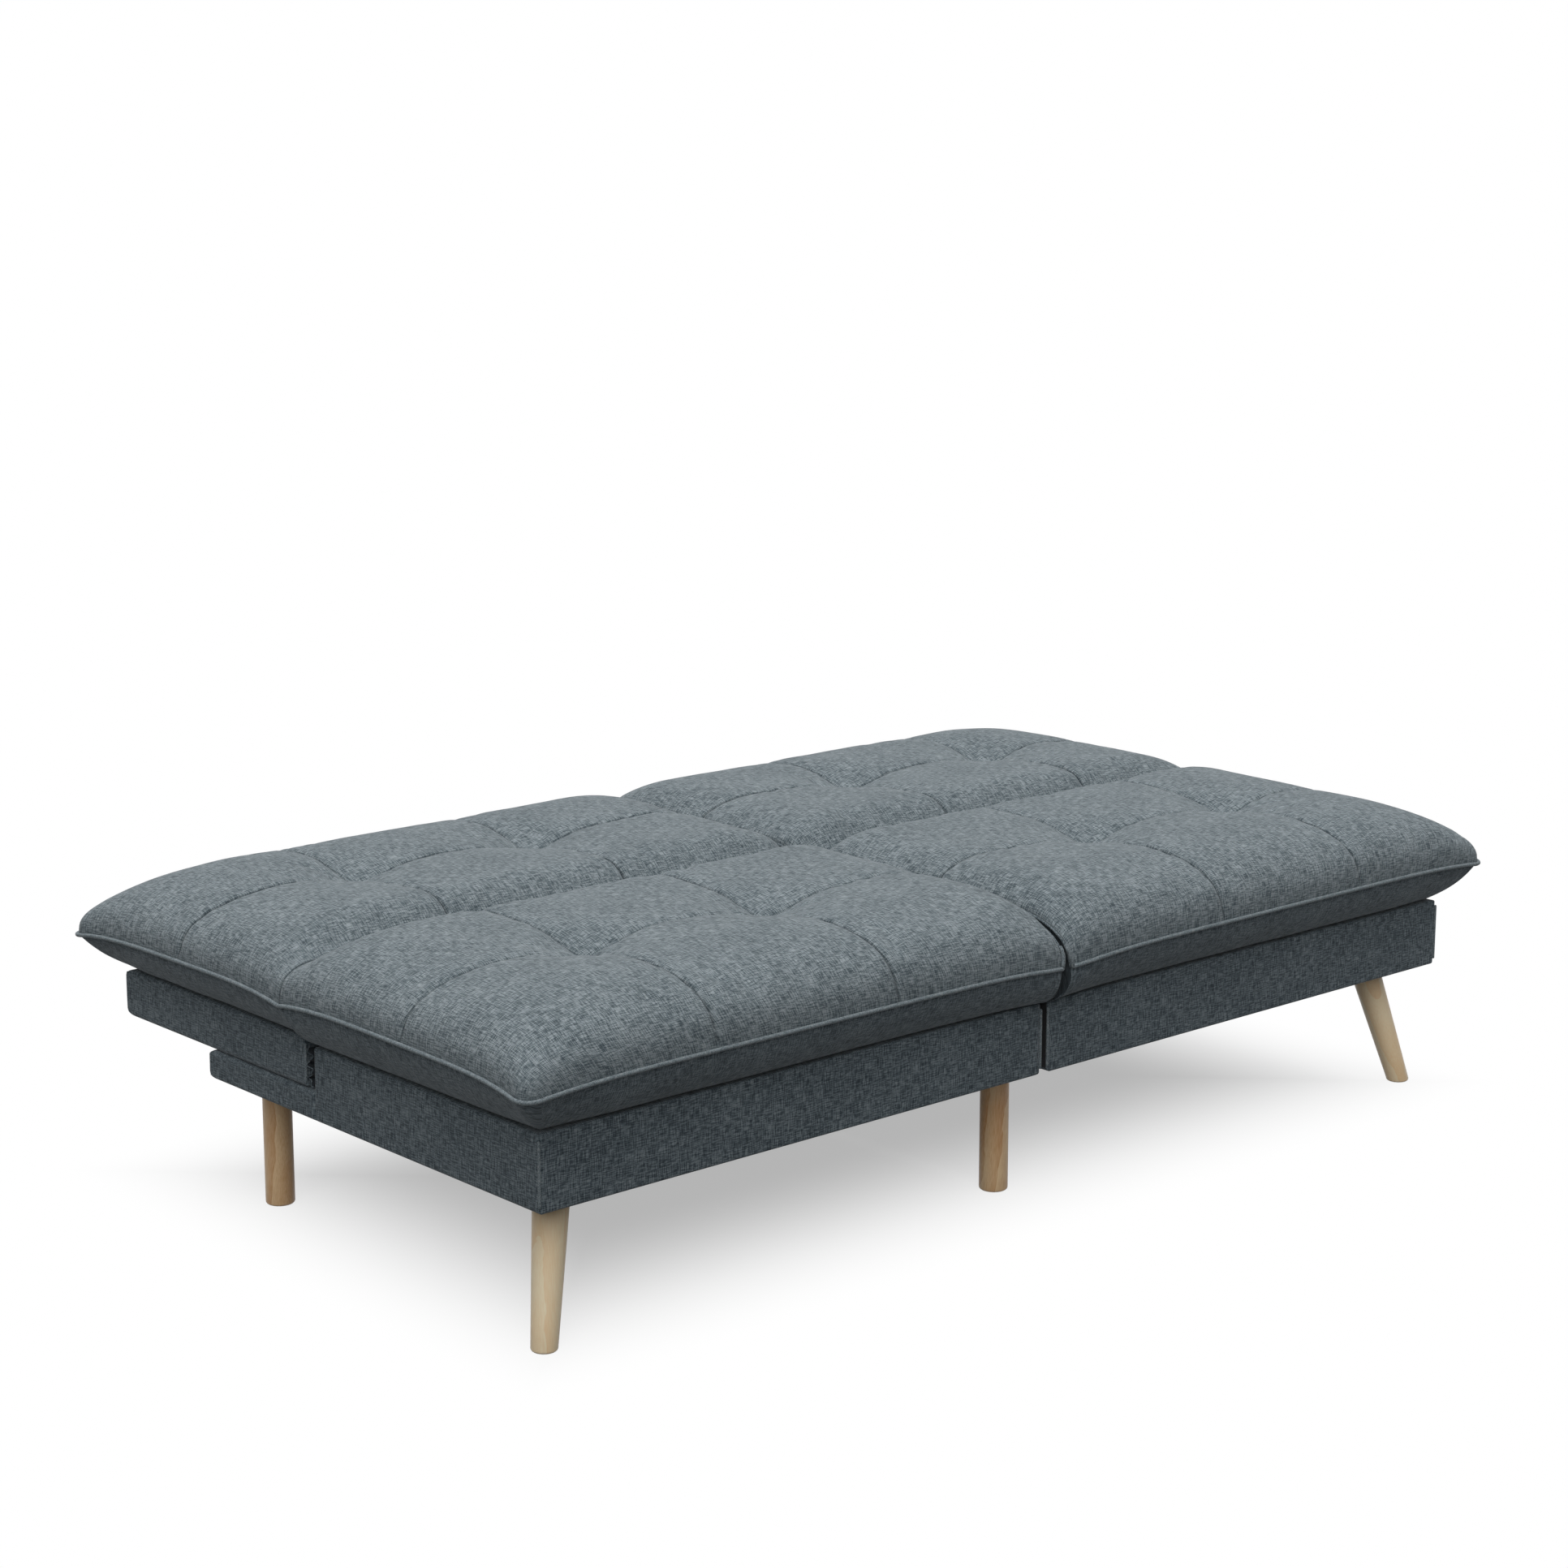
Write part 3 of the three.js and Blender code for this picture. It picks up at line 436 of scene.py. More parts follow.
def wood(name, pale, dark, ring_mm, coat, turned=False):
    """Pale close-grained timber. Growth rings are cylinders about a pith that lies outside the
    piece, so they show as lines and long arches, with fine pores along the grain. The rings lie two
    pi times ring_mm apart. A turned piece carries its own grain."""
    material, tree, shader = blank(name, {
        "Roughness": 0.48, "Coat Weight": coat, "Coat Roughness": 0.35})
    if turned:
        place = node(tree, "ShaderNodeAttribute", attribute_name="grain").outputs["Vector"]
    else:
        place = object_place(tree)
    bent = node(tree, "ShaderNodeMixRGB", {
        "Fac": 0.035, "Color1": place, "Color2": noise(tree, place, 7.0, 2.0, "Color")},
        blend_type="ADD").outputs["Color"]
    rings = node(tree, "ShaderNodeTexWave", {
        "Vector": bent, "Scale": 1000 / (20 * ring_mm), "Distortion": 1.2, "Detail": 2.0,
        "Detail Scale": 2.0}, wave_type="RINGS", rings_direction="Z", wave_profile="SAW")
    pores = noise(tree, stretch(tree, place, (1400.0, 1400.0, 60.0)), 1.0, 2.0)
    patches = noise(tree, place, 12.0, 1.0)
    grain = maths(tree, "MULTIPLY_ADD", rings.outputs["Fac"], 0.50, pores)
    tone = remap(tree, maths(tree, "MULTIPLY_ADD", patches, 0.9, grain), 0.65, 1.75)
    tree.links.new(ramp(tree, tone, [(0.0, pale), (1.0, dark)]), shader.inputs["Base Color"])
    raise_face(tree, shader, pores, 0.15, 0.0003)
    return material


def zinc_plate():
    """Zinc-plated steel sheet: blue-grey metal with faint spangle and rolled streaks."""
    material, tree, shader = blank("zinc_plated_steel", {"Metallic": 1.0})
    place = object_place(tree)
    spangle = node(tree, "ShaderNodeTexVoronoi", {"Vector": place, "Scale": 260.0})
    rolled = noise(tree, stretch(tree, place, (900.0, 40.0, 900.0)), 1.0, 2.0)
    mixed = maths(tree, "MULTIPLY", spangle.outputs["Distance"], rolled)
    colour = ramp(tree, mixed, [(0.0, "#9aa0a5"), (0.5, "#c3c8cb")])
    tree.links.new(colour, shader.inputs["Base Color"])
    rough = node(tree, "ShaderNodeMapRange", {"Value": rolled, "To Min": 0.28, "To Max": 0.46})
    tree.links.new(rough.outputs["Result"], shader.inputs["Roughness"])
    return material


def non_woven():
    """Spun-bonded polypropylene lining: thin black felt-like cloth with a dull, dimpled face."""
    material, tree, shader = blank("spunbond_lining", {"Roughness": 0.95})
    place = object_place(tree)
    dimples = node(tree, "ShaderNodeTexVoronoi", {"Vector": place, "Scale": 420.0})
    fibres = noise(tree, place, 180.0, 4.0)
    colour = ramp(tree, fibres, [(0.3, "#161718"), (0.7, "#26282a")])
    tree.links.new(colour, shader.inputs["Base Color"])
    raise_face(tree, shader, dimples.outputs["Distance"], 0.5, 0.0005)
    return material


def floor_paper():
    """White studio paper. The camera sees it white, with the object's real shadow on it. Over that, a
    painted fade to pure white is mixed in by place, from inside the object's outline outwards, which
    sets where the shadow ends."""
    material, tree, shader = blank("studio_paper", {
        "Roughness": 1.0, "Specular IOR Level": 0.0, "Emission Color": linear(WHITE)})
    direct = seen(tree)
    paper = node(tree, "ShaderNodeMixRGB", {
        "Fac": direct, "Color1": linear(FLOOR_BOUNCE), "Color2": linear(FLOOR_COLOUR)})
    tree.links.new(paper.outputs["Color"], shader.inputs["Base Color"])
    lift = maths(tree, "MULTIPLY", direct, FLOOR_LIFT)
    tree.links.new(lift, shader.inputs["Emission Strength"])
    white = node(tree, "ShaderNodeEmission", {"Color": linear(WHITE), "Strength": 1.0})
    spread = node(tree, "ShaderNodeVectorMath", {0: object_place(tree)}, operation="ABSOLUTE")
    past = node(tree, "ShaderNodeVectorMath", {0: spread.outputs["Vector"], 1: tuple(cad_high)},
                operation="SUBTRACT")
    sides = node(tree, "ShaderNodeSeparateXYZ", {"Vector": past.outputs["Vector"]}).outputs
    away = maths(tree, "MAXIMUM", sides["X"], sides["Y"])
    # Painted light: a fade to white by place on the floor, which clears the shadow from inside the
    # outline outwards.
    fade = remap(tree, away, SHADOW_START, SHADOW_END, interpolation_type="SMOOTHSTEP")
    mixed = node(tree, "ShaderNodeMixShader", {
        "Fac": maths(tree, "MULTIPLY", fade, direct), 1: shader.outputs["BSDF"],
        2: white.outputs["Emission"]})
    output = next(n for n in tree.nodes if n.type == "OUTPUT_MATERIAL")
    tree.links.new(mixed.outputs["Shader"], output.inputs["Surface"])
    return material


PAD_TONES = [(0.0, "#3e494f"), (0.5, "#6a757a"), (1.0, "#959ea2")]
# The same melange as PAD_TONES, darkened as painted shade for the boxes' walls, the pads' sides and
# undersides, the split welt and the gap's hem.
BOX_SHADE_TONES = [(0.0, "#2e383e"), (0.5, "#57636a"), (1.0, "#879196")]
# Darker still: painted shade for the pads' sides that face each other across the split.
SPLIT_SHADE_TONES = [(0.0, "#1c2327"), (0.5, "#323b40"), (1.0, "#4c565c")]
# The melange lightened as a painted highlight, the light that the piping and the box welts catch.
PIPING_HIGHLIGHT_TONES = [(0.0, "#505a60"), (0.5, "#727d82"), (1.0, "#949c9f")]
GAP_TONES = [(0.0, "#14171a"), (0.5, "#22272b"), (1.0, "#394147")]
# Dark colour painted along the seams and the crease as the shade in their grooves.
SEAM_SHADE_COLOUR = "#20272b"

pad_cloth = woven("melange_pad_cloth", PAD_TONES)
box_cloth_painted_shade = woven("melange_box_cloth_painted_shade", BOX_SHADE_TONES)
split_shade_cloth = woven("melange_painted_split_shade", SPLIT_SHADE_TONES)
piping_cloth_painted_highlight = woven("melange_piping_painted_highlight", PIPING_HIGHLIGHT_TONES, slub_mm=9.0)
gap_lining = woven("plain_gap_cloth", GAP_TONES, thread_mm=0.8, slub_mm=5.0)
lining_cloth = non_woven()
# Lit and shaded copies of one beech: the corner legs paler as painted light, the middle and rear legs
# darker and warmer as painted shade under the bed.
beech_painted_lit = wood("turned_beech_painted_lit", "#fff0ce", "#f0ca98", 3.4, 0.25, turned=True)
beech_painted_shade = wood("turned_beech_painted_shade", "#f6d9ac", "#bd8349", 3.4, 0.25, turned=True)
pine = wood("planed_pine", "#e9cf9f", "#c0935a", 5.0, 0.0)
birch_ply = wood("birch_plywood", "#e8d5b0", "#c9a878", 2.4, 0.0)
zinc = zinc_plate()


# Meshes

def add_object(name, data):
    """A new object in the scene."""
    made = bpy.data.objects.new(name, data)
    bpy.context.scene.collection.objects.link(made)
    return made


def places_of(mesh):
    """The places of a mesh's points, as an array."""
    places = np.empty(len(mesh.vertices) * 3, np.float32)
    mesh.vertices.foreach_get("co", places)
    return places.reshape(-1, 3).astype(float)


def grid_quads(rows, columns, first=0):
    """The corners of each face of a grid, whose points are numbered row by row from first."""
    index = first + np.arange(rows * columns).reshape(rows, columns)
    return np.stack([index[:-1, :-1], index[:-1, 1:], index[1:, 1:], index[1:, :-1]], -1)


def weld(name, patches, material, marks=None):
    """Joins grids of points into one mesh. A patch is (points, weave): rows x columns x 3 places, and
    rows x columns x 2 weave coordinates in metres. Points that lie together become one. marks are
    those of the first patch."""
    places, weaves, faces, start = [], [], [], 0
    for points, weave in patches:
        rows, columns = points.shape[:2]
        places.append(points.reshape(-1, 3))
        weaves.append(weave.reshape(-1, 2))
        faces.append(grid_quads(rows, columns, start).reshape(-1, 4))
        start += rows * columns
    if marks is not None:
        marks = np.pad(marks.ravel(), (0, start - marks.size))
    return finish_mesh(name, np.concatenate(places), np.concatenate(faces),
                       np.concatenate(weaves), material, marks)


def finish_mesh(name, places, faces, weave, material, marks=None):
    """A smooth mesh object from places, quads and weave coordinates, with doubles merged and its
    faces turned outwards. marks, one for each place, say how much painted seam shade darkens it there."""
    mesh = bpy.data.meshes.new(name)
    mesh.from_pydata(places, [], faces)
    uv = mesh.uv_layers.new(name="weave")
    corners = np.empty(len(mesh.loops), np.int32)
    mesh.loops.foreach_get("vertex_index", corners)
    uv.uv.foreach_set("vector", weave[corners].astype(np.float32).ravel())
    if marks is not None:
        store = mesh.attributes.new("stitched", "FLOAT", "POINT")
        store.data.foreach_set("value", marks.astype(np.float32))
    shape = bmesh.new()
    shape.from_mesh(mesh)
    bmesh.ops.remove_doubles(shape, verts=shape.verts, dist=DOUBLES_WITHIN)
    bmesh.ops.recalc_face_normals(shape, faces=shape.faces)
    shape.to_mesh(mesh)
    shape.free()
    mesh.polygons.foreach_set("use_smooth", np.ones(len(mesh.polygons), bool))
    mesh.materials.append(material)
    piece = add_object(name, mesh)
    return piece


def mirrored(patches, sign):
    """The same patches on the other side of the middle plane, where sign is -1."""
    flip = np.array([sign, 1.0, 1.0])
    return [(points * flip, weave) for points, weave in patches]


def thicken(piece, thickness):
    """Gives a sheet its thickness, inwards from its face."""
    solid = piece.modifiers.new("thickness", "SOLIDIFY")
    solid.thickness = thickness
    solid.offset = -1.0
    return piece


def smooth_step(t):
    """0 below 0, 1 above 1, and 3t2 - 2t3 between."""
    t = np.clip(t, 0.0, 1.0)
    return t * t * (3 - 2 * t)


def ripples(u, v, size, seed):
    """Smooth random heights from -1 to 1: a lattice of random values, size apart, joined by smooth
    steps. size is one length, or one for each way. Primes mix the lattice's numbers into a place in
    the table of values."""
    across, along = np.broadcast_to(size, 2)
    a, b = np.asarray(u) / across, np.asarray(v) / along
    i, j = np.floor(a).astype(int), np.floor(b).astype(int)
    fa, fb = smooth_step(a - i), smooth_step(b - j)
    table = np.random.default_rng(seed).uniform(-1, 1, RIPPLE_VALUES)

    def at(p, q):
        return table[(p * 73 + q * 337 + p * q * 11) % RIPPLE_VALUES]

    low = at(i, j) * (1 - fa) + at(i + 1, j) * fa
    high = at(i, j + 1) * (1 - fa) + at(i + 1, j + 1) * fa
    return low * (1 - fb) + high * fb


def run_lengths(points):
    """Distance run along a line of points, from 0 at the first."""
    return np.concatenate([[0.0], np.cumsum(np.linalg.norm(np.diff(points, axis=0), axis=1))])


def spaced(path, least):
    """A path without the points that lie less than that from the one before."""
    steps = np.linalg.norm(np.diff(path, axis=0), axis=1)
    return path[np.concatenate([[True], steps > least])]


def tube(path, radius, sides=10, bias=False):
    """A round cord along an open path, closed by round ends: rings of sides points at right angles
    to the path, their radius falling to 0 over quarter circles at the ends. The cloth is cut
    straight, or on the bias, at 45 degrees."""
    way = np.gradient(path, axis=0)
    way /= np.linalg.norm(way, axis=1, keepdims=True)
    steep = np.abs(way[:, 2:]) > STEEP_PATH
    beside = np.cross(way, np.where(steep, [[1.0, 0.0, 0.0]], [[0.0, 0.0, 1.0]]))
    beside /= np.linalg.norm(beside, axis=1, keepdims=True)
    above = np.cross(beside, way)
    turns = np.linspace(0, math.pi / 2, TUBE_END_RINGS + 1)[:-1]
    before = path[0] - way[0] * radius * np.cos(turns)[:, None]
    after = path[-1] + way[-1] * radius * np.cos(turns[::-1])[:, None]
    centres = np.concatenate([before, path, after])
    radii = np.concatenate([radius * np.sin(turns), np.full(len(path), radius),
                            radius * np.sin(turns[::-1])])
    beside, above = (np.pad(v, ((len(turns), len(turns)), (0, 0)), "edge") for v in (beside, above))
    angle = np.linspace(0, 2 * math.pi, sides + 1)
    ring = beside[:, None] * np.cos(angle)[:, None] + above[:, None] * np.sin(angle)[:, None]
    points = centres[:, None] + ring * radii[:, None, None]
    points[:, -1] = points[:, 0]
    u = np.repeat(run_lengths(centres)[:, None], sides + 1, 1)
    v = np.repeat((angle * radius)[None], len(centres), 0)
    weave = np.stack([u + v, u - v] if bias else [u, v], -1)
    return points, weave


# The mattress

def roll_up(distance, roll, power=ROLL_POWER):
    """From 0 at an edge to 1 at the end of its roll, as a quarter ellipse of that power rises."""
    left = 1 - np.clip(distance / roll, 0, 1)
    return (1 - left ** power) ** (1 / power)


def join_rises(*rises):
    """Several edges' rises as one, fuller in the corners than their product: the sum of their inverse
    powers, less one for each edge but the first, and back."""
    total = sum(np.maximum(rise, 1e-6) ** -CORNER_POWER for rise in rises) - (len(rises) - 1)
    return total ** (-1 / CORNER_POWER)


def corner_drop(y, radius, inset):
    """How far a rounded corner draws the end in at depth y, for a rim that lies inset."""
    past = np.clip(np.abs(y) - (HALF_DEPTH - radius), 0, radius - inset)
    return radius - inset - np.sqrt((radius - inset) ** 2 - past ** 2)


def rim_ends(y, inset):
    """The inner and outer X of a rim that lies inset from the pad's outline, at depth y."""
    return (PAD_INNER + inset + corner_drop(y, SPLIT_CORNER_R, inset),
            PAD_OUTER - inset - corner_drop(y, CORNER_R, inset))


def rim_distances(x, y):
    """Distances inwards from the rim's outer end, its front or rear, and its side at the split."""
    inner, outer = rim_ends(y, SEAM_INSET)
    return outer - x, HALF_DEPTH - SEAM_INSET - np.abs(y), x - inner


def piping_height(x, y):
    """The piping's height. It bows up between its corners, as 1 - (2t - 1)^4 on the end and with a
    power of 6 along the front and rear, and rises in a straight line towards the crease."""
    front = y < HINGE_Y
    start = np.where(front, -HALF_DEPTH, HINGE_Y)
    end = np.where(front, HINGE_Y, HALF_DEPTH)
    hump = 1 - (2 * np.clip((y - start) / (end - start), 0, 1) - 1) ** 4
    share = np.clip((x - PAD_INNER) / (PAD_OUTER - PAD_INNER), 0, 1)
    bow = PIPING_FRONT_BOW * (1 - (2 * share - 1) ** 6) * (y / HALF_DEPTH) ** 2
    rise = PIPING_HINGE_RISE * np.clip(1 - np.abs(y - HINGE_Y) / HALF_DEPTH, 0, 1)
    return SEAT_BOTTOM + PIPING_RISE + (PIPING_BOW * hump + rise) * share + bow


def pulled(x, y):
    """Places in plan as the sewing pulls them. The front and rear edges draw in next to the split, as
    a parabola over the last centimetres, and so does the split edge at the crease, as a bell curve.
    The outer corners stand out, as those of a piped pad do, and that fades exponentially away."""
    share = np.clip(1 - (x - PAD_INNER) / SPLIT_PULL_W, 0, 1) ** 2
    x = x + CREASE_GAP * share * np.exp(-((y - HINGE_Y) / CREASE_GAP_W) ** 2)
    ear = np.exp(-(PAD_OUTER - x + HALF_DEPTH - np.abs(y)) / EAR_REACH)
    drawn = y - np.sign(y) * SPLIT_PULL * share * np.abs(y / HALF_DEPTH) ** 8
    return x + EAR_X * ear, drawn + np.sign(y) * EAR_Y * ear


def seam_distances(x, y):
    """Distances to the nearest seam that runs front to rear, to the nearest that runs along, and to
    the crease."""
    across = np.min([np.abs(x - s) for s in SEAMS_X], 0)
    along = np.min([np.abs(y - s) for s in (SEAT_SEAM_Y, BACK_SEAM_Y)], 0)
    return across, along, np.abs(y - HINGE_Y)


def stitch_share(across, along):
    """How much of a stitched line shows: most of it is lost in the valley near a tuft."""
    return 1 - STITCH_HIDDEN * np.exp(-(across ** 2 + along ** 2) / STITCH_HIDDEN_W ** 2)


def painted_seam_shade(x, y):
    """How much painted seam shade, a dark colour for the shade in the grooves, darkens each point of the
    top:
    a bell curve across each stitched line and the crease, and nothing on the rim."""
    across, along, crease = seam_distances(x, y)
    marks = SEAM_SHADE_TONE * np.exp(-(np.minimum.reduce([across, along, crease]) / STITCH_W) ** 2)
    marks *= stitch_share(across, along)
    marks[[0, -1], :] = 0.0
    marks[:, [0, -1]] = 0.0
    return marks


def pad_height(x, y, inset):
    """The crowned top. It rises from the rim along rounded quarter ellipses. Each seam is a valley,
    half a sharp exponential from its line and half a wide bell, which is shallow along most of it and
    deepens as a bell curve towards the tufts, where two seams cross. The crease is a deep bell. All
    of them fade out over the roll, as a power of its rise. The outer corners are slack, by a share
    that fades exponentially away from them."""
    inner, outer = rim_ends(y, inset)
    low = piping_height(x, y)
    at_edges = join_rises(roll_up(outer - x, END_ROLL), roll_up(y + HALF_DEPTH - inset, FRONT_ROLL),
                          roll_up(HALF_DEPTH - inset - y, REAR_ROLL))
    at_split = SPLIT_WALL_SHARE + (1 - SPLIT_WALL_SHARE) * roll_up(x - inner, SPLIT_ROLL, 2.0)
    across, along, crease = seam_distances(x, y)
    dips = (CREASE_DIP * np.exp(-(crease / CREASE_W) ** 2)
            + CREASE_CUT * np.exp(-crease / CREASE_CUT_W)
            + TUFT_DIP * np.exp(-(across ** 2 + along ** 2) / TUFT_W ** 2))
    for off, run in ((across, along), (along, across)):
        depth = SEAM_DIP + VALLEY_DIP * np.exp(-(run / VALLEY_REACH) ** 2)
        dips = dips + depth * (np.exp(-off / VALLEY_W) + np.exp(-(off / VALLEY_SLOPE) ** 2)) / 2
    slack = 1 - CORNER_SINK * np.exp(-(outer - x + HALF_DEPTH - np.abs(y)) / CORNER_SINK_REACH)
    dips = dips * at_edges ** VALLEY_FADE
    return low + (CROWN - low - dips) * at_edges * at_split * slack


def lines(start, seams, end):
    """Places of mesh lines: the steps shrink as squares towards both edges, and are fine beside
    each seam, with a line on it."""
    edge = EDGE_ZONE * (np.arange(EDGE_LINES) / EDGE_LINES) ** 2
    places = [start + edge, end - edge]
    stops = [start + EDGE_ZONE, *[p for s in seams for p in (s - SEAM_ZONE, s + SEAM_ZONE)],
             end - EDGE_ZONE]
    for a, b in zip(stops[::2], stops[1::2]):
        places.append(np.linspace(a, b, max(2, round((b - a) / COARSE_STEP)) + 1))
    half = round(SEAM_ZONE / FINE_STEP)
    for s in seams:
        places.append(np.linspace(s - SEAM_ZONE, s + SEAM_ZONE, 2 * half + 1))
    return np.unique(np.concatenate(places).round(7))


PAD_XS = lines(PAD_INNER, SEAMS_X, PAD_OUTER)
PAD_YS = lines(-HALF_DEPTH, SEAMS_Y, HALF_DEPTH)
PAD_COLUMNS = len(PAD_XS) - 1
PAD_ROWS = len(PAD_YS) - 1


def pad_plan(inset, xs=PAD_XS, ys=PAD_YS):
    """The mesh lines' crossings in plan, squeezed into a rim that lies inset."""
    y = ys * (HALF_DEPTH - inset) / HALF_DEPTH
    inner, outer = rim_ends(y, inset)
    share = (xs - PAD_INNER) / (PAD_OUTER - PAD_INNER)
    x = inner[:, None] + share * (outer - inner)[:, None]
    return x, np.repeat(y[:, None], len(xs), 1)


def loop_of(grid):
    """The border of a grid as one closed line: front, outer end, rear, split side, first again."""
    return np.concatenate([grid[0, :-1], grid[:-1, -1], grid[-1, :0:-1], grid[:0:-1, 0], grid[:1, 0]])


def normals_of(points):
    """Unit normals of a grid of points, upwards for the top of the pad."""
    across = np.gradient(points, axis=1)
    along = np.gradient(points, axis=0)
    normal = np.cross(across, along)
    return normal / np.maximum(np.linalg.norm(normal, axis=2, keepdims=True), 1e-12)


def laid_weave(points):
    """Weave coordinates of cloth laid over a grid of points. Its threads follow the grid's lines, and
    the steps between them are the middling lengths there, so that they keep their size on rolls."""
    steps = [np.median(np.linalg.norm(np.diff(points, axis=axis), axis=2), 1 - axis)
             for axis in (1, 0)]
    u, v = (np.concatenate([[0.0], np.cumsum(step)]) for step in steps)
    return np.stack(np.meshgrid(u, v), -1)


def puckers(x, y, seed):
    """Short random ripples across the stitching: beside the seams, along the rim and, longer, in the
    crease. They fade as bell curves."""
    across, along, crease = seam_distances(x, y)
    seam = np.minimum(across, along)
    run = np.where(across < along, y, x)
    near_seam = np.exp(-((seam - PUCKER_START) / PUCKER_REACH) ** 2)
    total = ripples(run, seam, (PUCKER_LENGTH, PUCKER_REACH), seed) * near_seam

    end_edge, front_edge, _ = rim_distances(x, y)
    edge = np.minimum(end_edge, front_edge)
    run = np.where(end_edge < front_edge, y, x)
    near_rim = np.exp(-(edge / PUCKER_REACH) ** 2)
    total += RIM_PUCKERS * ripples(run, edge, (PUCKER_LENGTH, 2 * PUCKER_REACH), seed + 1) * near_rim

    near_crease = np.exp(-((crease - CREASE_PUCKER_START) / CREASE_PUCKER_REACH) ** 2)
    total += CREASE_PUCKERS * ripples(x, crease, CREASE_PUCKER_SIZE, seed + 2) * near_crease
    return total


def tuft_folds(x, y, seed):
    """Folds that run out from each tuft: cosines of the turn about it, of random strength, which
    rise evenly from it and fade as a bell curve."""
    folds = np.zeros_like(x)
    random = np.random.default_rng(seed)
    for seam_x in SEAMS_X:
        for seam_y in (SEAT_SEAM_Y, BACK_SEAM_Y):
            turn = np.arctan2(y - seam_y, x - seam_x)
            away = np.hypot(x - seam_x, y - seam_y)
            waves = sum(random.uniform(*FOLD_SHARES) * np.cos(n * turn + random.uniform(0, 2 * math.pi))
                        for n in FOLD_COUNTS)
            folds += waves * (away / FOLD_START) * np.exp(-(away / FOLD_REACH) ** 2)
    return folds


def fine_relief(x, y, seed):
    """What is sewn into the top, as height off its face: the cut of each seam with its stitched
    groove, puckers, folds and soft swells, all of which end at the rim."""
    across, along, crease = seam_distances(x, y)
    seam = np.minimum(across, along)
    cut = -SEAM_CUT * np.exp(-seam / SEAM_CUT_W) - STITCH_DEPTH * np.exp(-(seam / STITCH_W) ** 2)
    cut = cut * stitch_share(across, along) - STITCH_DEPTH * np.exp(-(crease / STITCH_W) ** 2)
    swells = (SWELL_HEIGHT * ripples(x, y, SWELL_SIZE, seed + 4)
              + SMALL_SWELL_HEIGHT * ripples(x, y, SMALL_SWELL_SIZE, seed + 5))
    end_edge, front_edge, split_edge = rim_distances(x, y)
    edge = np.minimum(end_edge, front_edge)
    open_face = smooth_step(edge / EDGE_ZONE) * smooth_step(split_edge / EDGE_ZONE)
    at_rim = smooth_step(np.minimum(edge, split_edge) / RIM_FADE)
    return (cut + PUCKER_HEIGHT * puckers(x, y, seed)
            + (FOLD_HEIGHT * tuft_folds(x, y, seed + 3) + swells) * open_face) * at_rim


def bottom_height(x, y):
    """The underside: level on the seat, a step higher on the back, with a pocket over each hinge."""
    step = smooth_step((y - SEAT_BOX[1][1]) / (BACK_BOX[0][1] - SEAT_BOX[1][1]))
    level = SEAT_BOTTOM + (BACK_BOTTOM - SEAT_BOTTOM) * step
    pockets = 0.0
    for hinge in ("inner", "outer"):
        low, high = span(f"right_{hinge}_hinge_pin")
        beside = np.abs(x - (low[0] + high[0]) / 2)
        inside = smooth_step((POCKET_X + POCKET_EDGE - beside) / POCKET_EDGE)
        inside *= smooth_step((POCKET_Y + POCKET_EDGE - np.abs(y - HINGE_Y)) / POCKET_EDGE)
        pockets = pockets + POCKET_RISE * inside
    return level + pockets


def foot(x, y):
    """Where the side comes down: drawn in over the edge of the boxes, and a little out at the split."""
    spread = SPLIT_SPREAD * np.exp(-(x - PAD_INNER - SEAM_INSET) / SPLIT_SPREAD_REACH)
    return (np.minimum(x - spread, SEAT_BOX[1][0] - UNDER_INSET),
            np.clip(y, SEAT_BOX[0][1] + UNDER_INSET, BACK_BOX[1][1] - UNDER_INSET))


